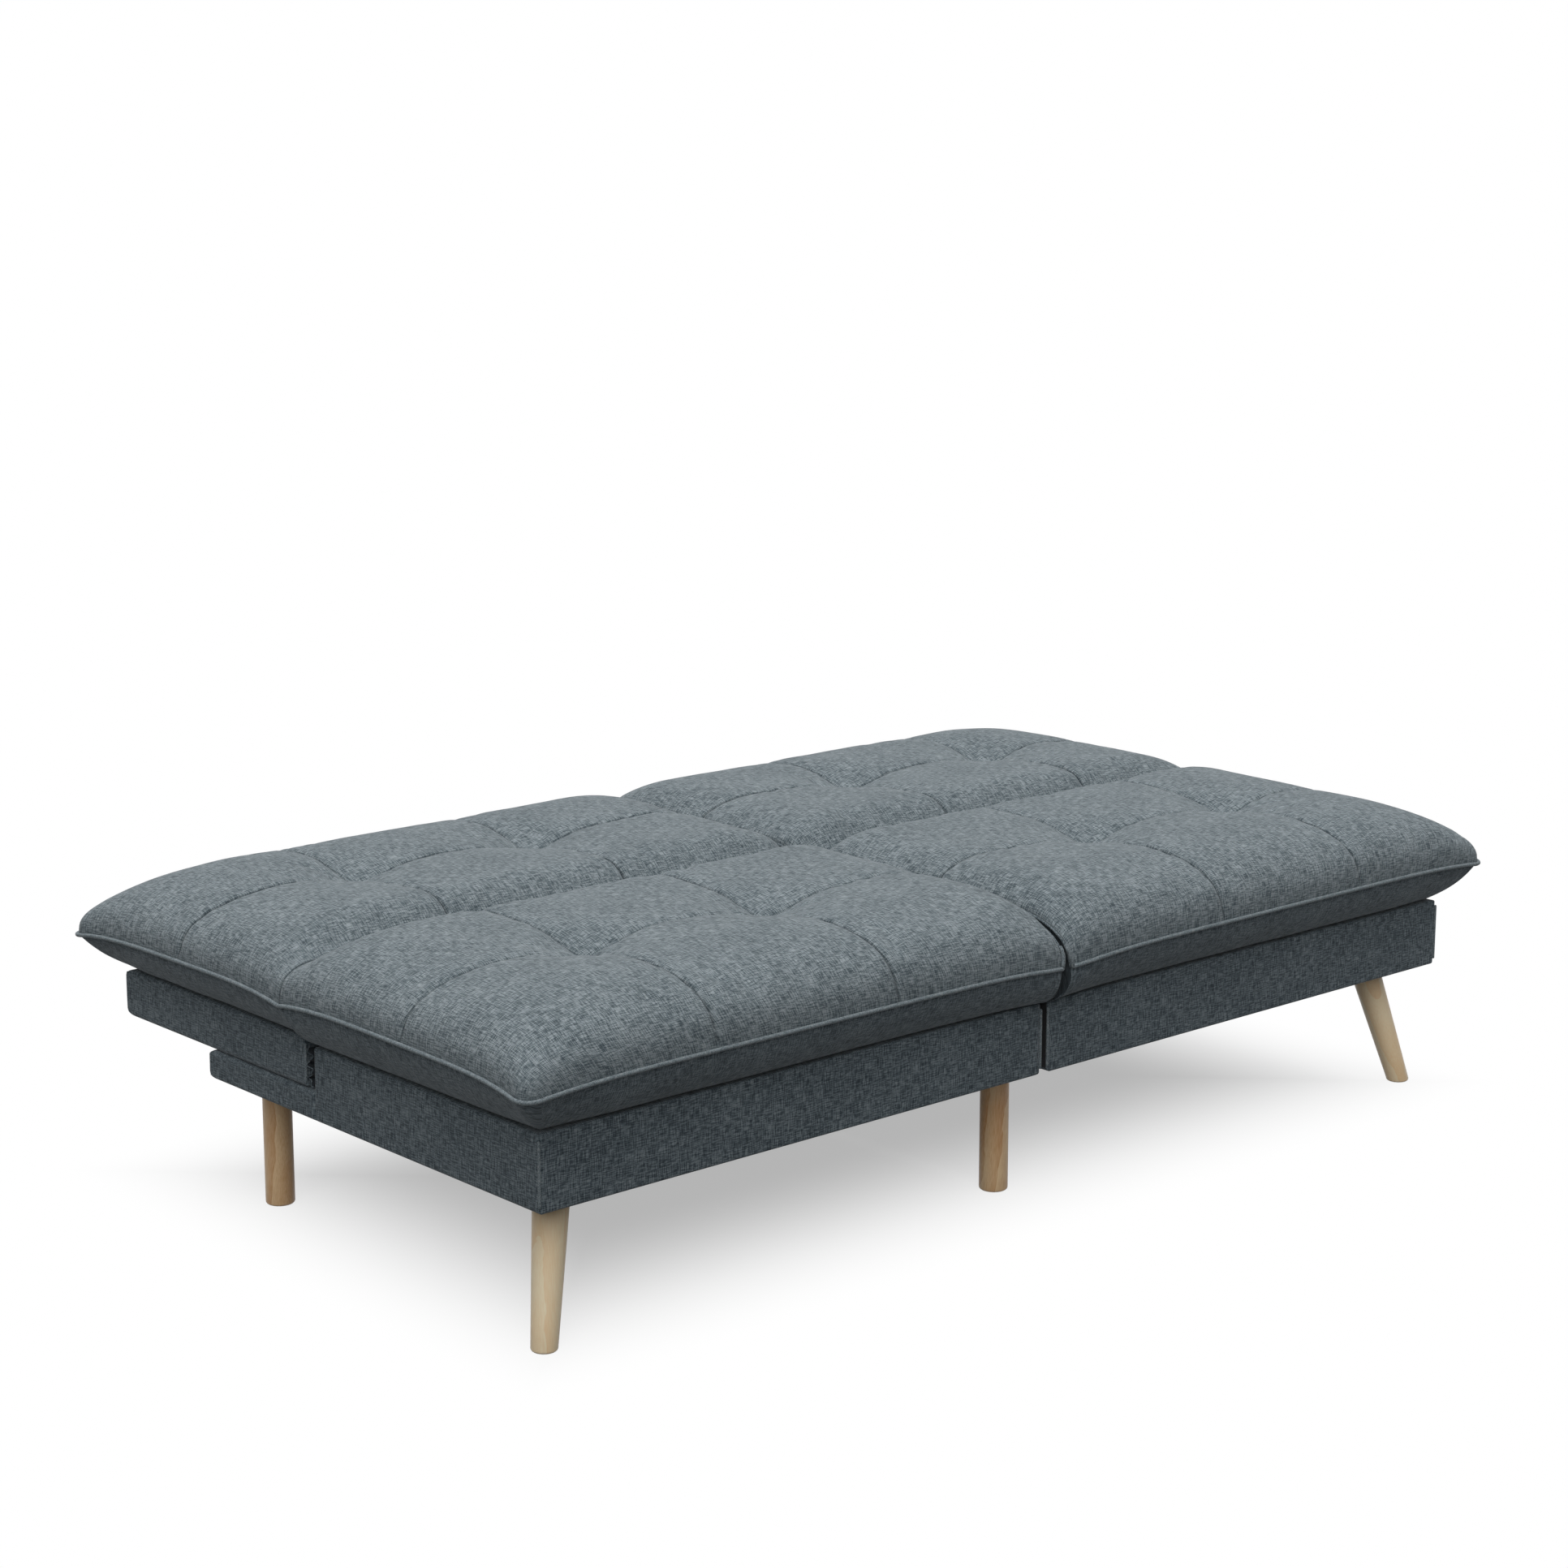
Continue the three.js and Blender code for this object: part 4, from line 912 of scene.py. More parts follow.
def settled(seed):
    """Cloth simulation of the top. A coarse copy, a little too large for its place, is held at the
    rim, the seams and the tufts and blown up from inside. Returns how far it rose or sank at each
    crossing of the mesh lines, eased towards a cap by a hyperbolic tangent."""
    xs = np.linspace(PAD_INNER, PAD_OUTER, round((PAD_OUTER - PAD_INNER) / CLOTH_STEP) + 1)
    ys = np.linspace(-HALF_DEPTH, HALF_DEPTH, round(2 * HALF_DEPTH / CLOTH_STEP) + 1)
    for places, seams in ((xs, SEAMS_X), (ys, SEAMS_Y)):
        for seam in seams:
            places[np.argmin(np.abs(places - seam))] = seam
    x, y = pad_plan(SEAM_INSET, xs, ys)
    start = np.stack([x, y, pad_height(x, y, SEAM_INSET)], -1)
    crumple = CLOTH_CRUMPLE * ripples(x, y, CLOTH_CRUMPLE_SIZE, seed + 30)
    start[1:-1, 1:-1, 2] += crumple[1:-1, 1:-1]

    mesh = bpy.data.meshes.new("cloth_top")
    mesh.from_pydata(start.reshape(-1, 3), [], grid_quads(*x.shape).reshape(-1, 4))
    sheet = add_object("cloth_top", mesh)
    firm = np.minimum.reduce(seam_distances(x, y)) < CLOTH_STEP * CLOTH_HOLD
    firm[[0, -1], :] = True
    firm[:, [0, -1]] = True
    held = sheet.vertex_groups.new(name="held")
    held.add(np.flatnonzero(firm).tolist(), 1.0, "REPLACE")

    cloth = sheet.modifiers.new("cloth", "CLOTH")
    settings = cloth.settings
    settings.vertex_group_mass = "held"
    settings.quality = 6
    settings.mass = 0.25
    settings.tension_stiffness = settings.compression_stiffness = 22
    settings.shear_stiffness = 8
    settings.bending_stiffness = 0.6
    settings.shrink_min = -CLOTH_EASE
    settings.use_pressure = True
    settings.uniform_pressure_force = CLOTH_PRESSURE
    settings.effector_weights.gravity = 0.0
    cloth.collision_settings.use_collision = False
    cloth.collision_settings.use_self_collision = False
    scene = bpy.context.scene
    for frame_number in range(1, CLOTH_FRAMES + 1):
        scene.frame_set(frame_number)
    final = sheet.evaluated_get(bpy.context.evaluated_depsgraph_get())
    moved = places_of(final.to_mesh())[:, 2].reshape(x.shape) - start[..., 2]
    bpy.data.objects.remove(sheet)
    scene.frame_set(1)
    moved = CLOTH_CAP * np.tanh(moved / CLOTH_CAP)

    by_row = np.array([np.interp(PAD_XS, xs, row) for row in moved])
    return np.array([np.interp(PAD_YS, ys, column) for column in by_row.T]).T


def make_band(rim, seed):
    """The pad's side as a patch, from the rim to the foot, on a line between a straight slope and a
    quarter ellipse: fuller away from the outer corners, and fullest at the split. It puckers below
    the rim, waves softly all over, and wrinkles at the outer end of the crease."""
    foot_x, foot_y = foot(rim[:, 0], rim[:, 1])
    base = np.stack([foot_x, foot_y, bottom_height(foot_x, foot_y)], -1)
    quarter = np.linspace(0, math.pi / 2, BAND_ROWS + 1)[:, None]
    share = quarter / (math.pi / 2)
    corner_off = np.hypot(PAD_OUTER - rim[:, 0], HALF_DEPTH - np.abs(rim[:, 1]))
    bulge = UNDER_BULGE_SHARE + UNDER_BULGE_MORE * smooth_step(corner_off / UNDER_BULGE_REACH)
    bulge = bulge + SPLIT_BULGE_MORE * np.exp(-(rim[:, 0] - PAD_INNER) / SPLIT_BULGE_REACH)
    inwards = share + (1 - np.cos(quarter) - share) * bulge
    down = share + (np.sin(quarter) - share) * bulge
    band = rim + (base - rim) * np.stack([inwards, inwards, down], -1)

    run = run_lengths(rim)
    depth = np.sin(quarter) * np.linalg.norm(base - rim, axis=1)
    wrinkle = PUCKER_HEIGHT * ripples(run, depth, BAND_PUCKER_SIZE, seed + 7) * (1 - share)
    wrinkle = wrinkle + BAND_WAVE * ripples(run, depth, BAND_WAVE_SIZE, seed + 8)
    at_crease = np.exp(-((rim[:, 1] - HINGE_Y) / BAND_CREASE_REACH) ** 2)
    at_crease = at_crease * (rim[:, 0] > PAD_OUTER - BAND_CREASE_FROM_END)
    wrinkle = wrinkle + BAND_CREASE * at_crease * ripples(run, depth, BAND_CREASE_SIZE, seed + 9)
    band = band - normals_of(band) * (wrinkle * np.sin(math.pi * share))[..., None]

    place = np.arange(len(rim))
    on_front = place < PAD_COLUMNS
    on_rear = (place >= PAD_COLUMNS + PAD_ROWS) & (place < 2 * PAD_COLUMNS + PAD_ROWS)
    along = np.where(on_front | on_rear, band[..., 0], band[..., 1])
    return band, np.stack([along, depth], -1)


def cloth_lower_faces(pad, top_faces, sign):
    """Gives the band and the underside, which follow the faces of the top, the boxes' cloth, the melange
    darkened as painted shade, and the side at the split a darker copy still, as painted shade of the
    narrow gap."""
    facing = np.empty(len(pad.data.polygons) * 3)
    pad.data.polygons.foreach_get("normal", facing)
    lower = np.arange(len(pad.data.polygons)) >= top_faces
    # Painted shade: the lower faces that face the split take the darkest copy of the melange.
    at_split = lower & (facing[::3] * sign < SPLIT_FACING)
    pad.data.materials.append(box_cloth_painted_shade)
    pad.data.materials.append(split_shade_cloth)
    pad.data.polygons.foreach_set("material_index", lower.astype(np.int32) + at_split)


def make_mattress(side, sign, seed):
    """One half's pad: its sewn top, its side band and its underside. Returns its rim."""
    x, y = pad_plan(SEAM_INSET)
    z = pad_height(x, y, SEAM_INSET)
    z = z + settled(seed)
    top = np.stack([*pulled(x, y), z], -1)
    weave = laid_weave(top)
    top = top + normals_of(top) * fine_relief(x, y, seed)[..., None]
    rim = loop_of(top)
    low_x, low_y = foot(x, y)
    under = np.stack([low_x, low_y, bottom_height(low_x, low_y)], -1)
    patches = [(top, weave), make_band(rim, seed), (under, under[..., :2])]
    pad = weld(f"{side}_mattress", mirrored(patches, sign), pad_cloth,
               painted_seam_shade(x, y))
    cloth_lower_faces(pad, PAD_ROWS * PAD_COLUMNS, sign)
    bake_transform(pad)
    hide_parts(f"{side}_seat_pad", f"{side}_fold_pad", f"{side}_back_pad")
    return rim


def make_piping(side, sign, rim):
    """Cords sewn into the rim: the piping round front, end and rear, which turns in a little at the
    split, and a thin welt round the wall there."""
    x, y = pad_plan(SEAM_INSET)
    pulled_x, pulled_y = pulled(x, y)
    cord_x, cord_y = pad_plan(PIPING_INSET)
    border = loop_of(np.stack([cord_x + pulled_x - x, cord_y + pulled_y - y,
                               pad_height(x, y, SEAM_INSET)], -1))
    turn = EDGE_LINES // 2
    split = 2 * PAD_COLUMNS + PAD_ROWS
    path = spaced(np.concatenate([border[-1 - turn:-1], border[:split + 1 + turn]]), PIPING_STEP)
    cord = weld(f"{side}_piping", mirrored([tube(path, PIPING_R, bias=True)], sign), piping_cloth_painted_highlight)
    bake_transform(cord)

    wall = spaced(rim[split:], WELT_STEP) + np.array([WELT_R - SEAM_INSET, 0.0, 0.0])
    welt = weld(f"{side}_split_welt", mirrored([tube(wall, WELT_R, sides=8, bias=True)], sign),
                box_cloth_painted_shade)
    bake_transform(welt)


# Upholstered boxes

SIDE_NORMALS = {"front": (0, -1), "outer": (1, 0), "rear": (0, 1), "split": (-1, 0)}


def axis_of(side):
    """The axis that a side of a box runs along."""
    return 0 if side in ("front", "rear") else 1


def box_loop(low, high, radius, stops):
    """A rounded rectangle in plan: places, outward normals and side names. stops adds places on a
    side, {side: coordinates}."""
    places, normals, names = [], [], []
    corners = np.array([low[:2], (high[0], low[1]), high[:2], (low[0], high[1])])
    turn = np.linspace(0, math.pi / 2, ARC_ROWS + 1)[1:-1, None]
    for side, start, end in zip(SIDE_NORMALS, corners, np.roll(corners, -1, 0)):
        way = (end - start) / np.linalg.norm(end - start)
        normal = np.array(SIDE_NORMALS[side], float)
        axis = axis_of(side)
        first, last = (start + way * radius)[axis], (end - way * radius)[axis]
        count = max(2, round(abs(last - first) / BOX_STEP))
        along = np.unique(np.concatenate([np.linspace(first, last, count + 1), stops[side]]))
        straight = np.tile(start, (len(along), 1))
        straight[:, axis] = along if last > first else along[::-1]
        turned = normal * np.cos(turn) + way * np.sin(turn)
        places += [straight, end - way * radius - normal * radius + turned * radius]
        normals += [np.tile(normal, (len(along), 1)), turned]
        names += [side] * len(along) + ["corner"] * len(turned)
    ring = [*range(len(names)), 0]
    return np.concatenate(places)[ring], np.concatenate(normals)[ring], np.array(names)[ring]


def inset_rings(places, normals, low, high, inset):
    """Rings drawn in from the outline, one for each row of insets: along its normals inside a
    corner, then square."""
    inset = inset[..., None]
    moved = places - normals * np.minimum(inset, BOX_PLAN_R)
    middle = (low[:2] + high[:2]) / 2
    return np.clip(moved, np.minimum(low[:2] + inset, middle), np.maximum(high[:2] - inset, middle))


def round_edge(points, low, high, axis, side, level, radius):
    """Draws points past a long edge's quarter circle back on to it. The edge is where the side of the
    box on that axis (-1 low, 1 high) meets its bottom (level -1) or top (1)."""
    edge = high[axis] if side > 0 else low[axis]
    rim = high[2] if level > 0 else low[2]
    a = (points[..., axis] - edge) * side + radius
    b = (points[..., 2] - rim) * level + radius
    out = np.hypot(a, b)
    back = np.where((a > 0) & (b > 0) & (out > radius), radius / np.maximum(out, 1e-9), 1.0)
    points[..., axis] = edge + side * (a * back - radius)
    points[..., 2] = rim + level * (b * back - radius)


def skin_stops(low, high, openings, rounds):
    """Where a skin needs mesh lines, on each side and in height: at its openings' edges, and in
    steps round its rounder edges."""
    stops = {side: [] for side in SIDE_NORMALS}
    levels = []
    for side, start, end, lowest, highest in openings:
        stops[side] += [start, end]
        levels += [lowest, highest]
    turns = 1 - np.cos(np.linspace(0, math.pi / 2, ARC_ROWS + 2)[1:])
    for axis, end, level, radius in rounds:
        edge = high[axis] if end > 0 else low[axis]
        steps = edge - end * radius * turns
        for side in SIDE_NORMALS:
            if axis_of(side) == axis:
                stops[side] += steps[np.abs(steps - edge) > BOX_PLAN_R + FACE_WITHIN].tolist()
        levels += ((high[2] if level > 0 else low[2]) - level * radius * turns).tolist()
    return stops, levels


def edge_radii(normals, edges):
    """The lower and upper edge's radius at each place of the outline: that of its side, and in a
    corner those of both sides, shared by its normal."""
    across = np.where(normals[:, :1] > 0, edges["outer"], edges["split"])
    along = np.where(normals[:, 1:] > 0, edges["rear"], edges["front"])
    weights = np.abs(normals)
    total = across * weights[:, :1] + along * weights[:, 1:]
    return (total / weights.sum(1, keepdims=True)).T


def skin_rows(low, high, lower, upper, levels, closed):
    """The insets and heights of a skin's rings, from the bottom up: hem, quarter circle, wall,
    quarter circle and hem. A closed face has no hem."""
    arc = np.linspace(0, math.pi / 2, ARC_ROWS + 1)[:, None]
    hems = np.linspace(HEM_W, 0, HEM_ROWS + 1)[:-1, None]
    clear = max(lower.max(), upper.max())
    wall = np.linspace(low[2] + clear, high[2] - clear, max(2, round((high[2] - low[2]) / BOX_STEP)))
    inner_levels = [z for z in levels if low[2] + clear < z < high[2] - clear]
    wall = np.unique(np.concatenate([wall, inner_levels]).round(6))[:, None]
    rows = [(lower * (1 - np.sin(arc)), low[2] + lower * (1 - np.cos(arc))),
            (0 * wall, wall),
            (upper * (1 - np.cos(arc)), high[2] - upper * (1 - np.sin(arc)))]
    if closed != "bottom":
        rows.insert(0, (np.maximum(hems, lower), low[2]))
    if closed != "top":
        rows.append((np.maximum(hems[::-1], upper), high[2]))
    whole = [np.broadcast_arrays(inset, height, lower)[:2] for inset, height in rows]
    return [np.concatenate(column) for column in zip(*whole)]


def uncut_strips(points, weave, places, names, openings):
    """The skin as strips of faces, row by row, without the faces that lie in an opening."""
    keep = np.ones((len(points) - 1, points.shape[1] - 1), bool)
    mid_z = (points[:-1, :-1, 2] + points[1:, 1:, 2]) / 2
    for side, start, end, lowest, highest in openings:
        middle = (places[:-1] + places[1:])[:, axis_of(side)] / 2
        columns = (names[:-1] == side) & (names[1:] == side) & (middle > start) & (middle < end)
        keep &= ~(columns & (mid_z > lowest) & (mid_z < highest))
    strips = []
    for row, kept in enumerate(keep):
        starts = np.flatnonzero(kept & ~np.concatenate([[False], kept[:-1]]))
        ends = np.flatnonzero(kept & ~np.concatenate([kept[1:], [False]]))
        strips += [(points[row:row + 2, a:b + 2], weave[row:row + 2, a:b + 2])
                   for a, b in zip(starts, ends)]
    return strips


def box_skin(name, low, high, edges, closed, openings, rounds, seed, sign):
    """The cloth of an upholstered box, as a sheet. Its wall goes round the outline, with rounded
    lower and upper edges and hems turned in, and one face may be closed. edges is {side: (lower
    radius, upper radius)}. openings are (side, from, to, lowest, highest) places with no cloth.
    rounds are (axis, side, level, radius) edges that are rounder, seen from the end too."""
    stops, levels = skin_stops(low, high, openings, rounds)
    places, normals, names = box_loop(low, high, BOX_PLAN_R, stops)
    lower, upper = edge_radii(normals, edges)
    inset, height = skin_rows(low, high, lower, upper, levels, closed)
    run = np.broadcast_to(run_lengths(places), height.shape)
    wave = CLOTH_WAVE * np.abs(ripples(run, height, CLOTH_WAVE_SIZE, seed))
    wave = wave * np.clip(1 - inset / CLOTH_WAVE_FADE, 0, 1)
    rings = inset_rings(places, normals, low, high, inset) - normals * wave[..., None]
    points = np.concatenate([rings, height[..., None]], -1)
    weave = np.stack([run, height + inset * np.sign(height - (low[2] + high[2]) / 2)], -1)
    for rounding in rounds:
        round_edge(points, low, high, *rounding)
    parts = uncut_strips(points, weave, places, names, openings)

    if closed:
        level, edge = (low[2], lower) if closed == "bottom" else (high[2], upper)
        depth = min(high[0] - low[0], high[1] - low[1]) / 2
        share = np.linspace(0, 1, FACE_RINGS)[:, None] ** FACE_RING_POWER
        rings = inset_rings(places, normals, low, high, edge + (depth - edge) * share)
        face = np.concatenate([rings, np.full((*rings.shape[:2], 1), level)], -1)
        for rounding in rounds:
            round_edge(face, low, high, *rounding)
        parts.append((face, face[..., :2]))
    return thicken(weld(name, mirrored(parts, sign), box_cloth_painted_shade), CLOTH_T)


def hinge_slots(side_name):
    """Openings for the two hinges in a wall that faces the gap."""
    slots = []
    for hinge in ("inner", "outer"):
        low, high = span(f"right_{hinge}_hinge_pin")
        plate_low, _ = span(f"right_{hinge}_hinge_seat_plate")
        slots.append((side_name, low[0] - HINGE_ROOM_BESIDE, high[0] + HINGE_ROOM_BESIDE,
                      plate_low[2] - HINGE_ROOM_BELOW, ABOVE_ALL))
    return slots


ROUNDS = {
    "seat_box": [(0, 1, -1, END_EDGE_R), (0, 1, 1, END_EDGE_R), (0, -1, -1, SPLIT_EDGE_R)],
    "shelf": [(1, 1, -1, SHELF_LOW_R), (1, 1, 1, SHELF_TOP_R), (0, 1, -1, END_EDGE_R),
              (0, 1, 1, GROOVE_R)],
    "back_box": [(1, 1, -1, BACK_LOW_R), (1, 1, 1, BACK_TOP_R), (1, -1, -1, BACK_FRONT_R),
                 (0, 1, -1, GROOVE_R), (0, 1, 1, END_EDGE_R)],
}


def follow_covers(name, sign, body, material, boxes):
    """A copy of a frame node, planed or pressed back to follow the rounded covers of these boxes."""
    mesh = NODES[name].data.copy()
    mesh.name = f"{name}_fitted"
    places = places_of(mesh) * [sign, 1, 1]
    for box_name, (low, high) in boxes:
        inside = (places[:, 1] < SEAT_BOX[1][1]) == (box_name == "seat_box")
        moved = places[inside]
        for axis, end, level, radius in ROUNDS[box_name]:
            round_edge(moved, low + FRAME_CLEAR, high - FRAME_CLEAR, axis, end, level,
                       radius - FRAME_CLEAR)
        places[inside] = moved
    mesh.vertices.foreach_set("co", (places * [sign, 1, 1]).astype(np.float32).ravel())
    mesh.materials.clear()
    mesh.materials.append(material)
    piece = add_object(mesh.name, mesh)
    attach(piece, body)
    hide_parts(name)


def make_frames(side, sign):
    """The timber frames, back slats and rear leg plate of one half."""
    back = (("back_box", BACK_BOX),)
    base = (("seat_box", SEAT_BOX), ("shelf", SHELF))
    follow_covers(f"{side}_seat_frame", sign, "base", pine, base)
    follow_covers(f"{side}_back_frame", sign, f"{side}_back", pine, back)
    for slat in ("back_slat_1", "back_slat_2"):
        follow_covers(f"{side}_{slat}", sign, f"{side}_back", birch_ply, back)
    follow_covers(f"{side}_rear_leg_plate", sign, "base", zinc, base)


def make_boxes(side, sign, seed):
    """Seat box, shelf and back box of one half, and their welts. The seat box's side at the split is
    covered in the black lining, a dark sheet that paints the shade of the narrow gap between the halves."""
    crisp = dict.fromkeys(SIDE_NORMALS, (CRISP_R, CRISP_R))
    shelf_passes = ("rear", SEAT_BOX[0][0] + SHELF_PASS_INSET, SEAT_BOX[1][0] - SHELF_PASS_INSET,
                    BELOW_ALL, SHELF[1][2] - SHELF_PASS_DROP)
    seat = box_skin(f"{side}_seat_box_cloth", *SEAT_BOX, crisp, None,
                    [shelf_passes, *hinge_slots("rear")], ROUNDS["seat_box"], seed, sign)
    centres = np.empty(len(seat.data.polygons) * 3)
    seat.data.polygons.foreach_get("center", centres)
    # Painted shade: the faces at the split take the black lining.
    seat.data.materials.append(lining_cloth)
    painted_gap_shade = np.abs(centres[::3]) < SEAT_BOX[0][0] + FACE_WITHIN
    seat.data.polygons.foreach_set("material_index", painted_gap_shade.astype(np.int32))
    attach(seat, "base")
    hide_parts(f"{side}_seat_box_cover")

    butted = {**crisp, "front": (BUTT_R, BUTT_R)}
    butt = ("front", SHELF[0][0] + BUTT_INSET, SHELF[1][0] - BUTT_INSET, BELOW_ALL, ABOVE_ALL)
    shelf = box_skin(f"{side}_shelf_cloth", *SHELF, butted, "top", [butt], ROUNDS["shelf"], seed + 1,
                     sign)
    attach(shelf, "base")
    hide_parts(f"{side}_shelf_cover")

    back = box_skin(f"{side}_back_box_cloth", *BACK_BOX, crisp, "bottom", hinge_slots("front"),
                    ROUNDS["back_box"], seed + 2, sign)
    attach(back, f"{side}_back")
    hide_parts(f"{side}_back_cover")

    for body, name, (low, high), outer_ends in (
            ("base", "seat_box", SEAT_BOX, (True, False)),
            (f"{side}_back", "back_box", BACK_BOX, (True,))):
        z = np.linspace(low[2] + BOX_WELT_SHORT, high[2] - BOX_WELT_SHORT, BOX_WELT_ROWS)
        for number, outer in enumerate(outer_ends, 1):
            x = high[0] - WELT_SUNK if outer else low[0] + WELT_SUNK
            path = np.stack([np.full_like(z, x), np.full_like(z, low[1] + WELT_SUNK), z], -1)
            # The welts are of the lightened piping melange, a painted highlight along the box edges.
            welt = weld(f"{side}_{name}_welt_{number}",
                        mirrored([tube(path, BOX_WELT_R, sides=8, bias=True)], sign), piping_cloth_painted_highlight)
            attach(welt, body)


# Cloth in the gap

def make_gap_cloth(side, sign, seed):
    """A strip folded to and fro between seat box and back box. Its section is a cosine zigzag, and
    each turn wanders up and down and in and out along the bed."""
    low, high = GAP
    columns = round((high[0] - low[0]) / GAP_COLUMN)
    x, fold = np.meshgrid(np.linspace(low[0], high[0] + GAP_END, columns + 1),
                          np.linspace(0, GAP_FOLDS, GAP_FOLDS * GAP_FOLD_ROWS + 1))
    along_fold = fold * GAP_FOLD_LENGTH
    swing = 0.5 - 0.5 * np.cos(math.pi * fold)
    rear, front, wander = (GAP_WANDER * ripples(x, along_fold, size, seed + k)
                           for k, size in enumerate(GAP_WANDER_SIZES))
    y = low[1] + GAP_CLEAR + (high[1] - low[1] - 2 * GAP_CLEAR) * swing
    y += np.abs(front) * (1 - swing) - np.abs(rear) * swing
    y = np.clip(y, low[1] + GAP_LEAST_CLEAR, high[1] - GAP_LEAST_CLEAR)
    z = low[2] + (high[2] - low[2]) * fold / GAP_FOLDS + wander * np.sin(math.pi * fold / GAP_FOLDS)
    at_end = smooth_step((x - high[0]) / GAP_END_REACH + 1)
    out = x + GAP_END_WAVE * at_end * np.sin(GAP_END_TURNS * math.pi * fold)
    points = np.stack([out, y, z], -1)
    weave = np.stack([x, np.repeat(run_lengths(points[:, 0])[:, None], columns + 1, 1)], -1)
    cloth = weld(f"{side}_gap_cloth_folded", mirrored([(points, weave)], sign), gap_lining)
    thicken(cloth, GAP_CLOTH_T)
    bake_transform(cloth)
    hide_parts(f"{side}_gap_cloth")
    hem = weld(f"{side}_gap_hem", mirrored([tube(points[:, -1], GAP_HEM_R, sides=6)], sign), box_cloth_painted_shade)
    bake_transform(hem)


# Lining under the boxes

def make_lining(side, sign, seed):
    """A thin flat sheet over the underside, sagging a little between the rails, with round holes
    where the legs pass: mesh points near a hole are moved to its edge."""
    low, high = LINING
    level = (low[2] + high[2]) / 2
    columns, rows = np.round((high - low)[:2] / LINING_STEP).astype(int)
    x, y = np.meshgrid(np.linspace(low[0], high[0], columns + 1), np.linspace(low[1], high[1], rows + 1))
    inside = np.ones((rows, columns), bool)
    for leg in ("corner_leg", "rear_leg"):
        leg_x, leg_y, leg_radius = leg_ring(f"right_{leg}", level)
        radius = leg_radius + LEG_HOLE_CLEAR
        mid_x, mid_y = (x[:-1, :-1] + x[1:, 1:]) / 2, (y[:-1, :-1] + y[1:, 1:]) / 2
        inside &= np.hypot(mid_x - leg_x, mid_y - leg_y) > radius
        away = np.hypot(x - leg_x, y - leg_y)
        pull = np.where(away < radius + LEG_HOLE_REACH, radius / np.maximum(away, 1e-9), 1.0)
        x, y = leg_x + (x - leg_x) * pull, leg_y + (y - leg_y) * pull
    edge = np.minimum.reduce([x - low[0], high[0] - x, y - low[1], high[1] - y])
    sag = smooth_step(edge / LINING_SAG_REACH) * (
        LINING_SAG + LINING_WAVE * ripples(x, y, LINING_WAVE_SIZE, seed))
    places = np.stack([x * sign, y, level - sag], -1).reshape(-1, 3)
    weave = np.stack([x, y], -1).reshape(-1, 2)
    quads = grid_quads(rows + 1, columns + 1)[inside]
    used = np.unique(quads)
    renumber = np.full(len(places), -1)
    renumber[used] = np.arange(len(used))
    sheet = finish_mesh(f"{side}_lining", places[used], renumber[quads], weave[used], lining_cloth)
    thicken(sheet, LINING_T)
    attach(sheet, "base")
    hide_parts(f"{side}_dust_cover")


# Legs

def leg_ring(name, level):
    """Centre X, Y and radius of a leg of the frame at a height: in a straight line from the ring at
    the top of its foot's rounded edge to its top ring."""
    places = places_of(NODES[name].data)
    heights = np.array([places[:, 2].min() + LEG_FOOT_ROUND, places[:, 2].max()])
    rings = []
    for height in heights:
        ring = places[np.isclose(places[:, 2], height, atol=1e-4)]
        low, high = ring.min(0), ring.max(0)
        rings.append(np.array([*(low + high)[:2] / 2, (high[0] - low[0]) / 2]))
    share = (level - heights[0]) / (heights[1] - heights[0])
    return rings[0] * (1 - share) + rings[1] * share


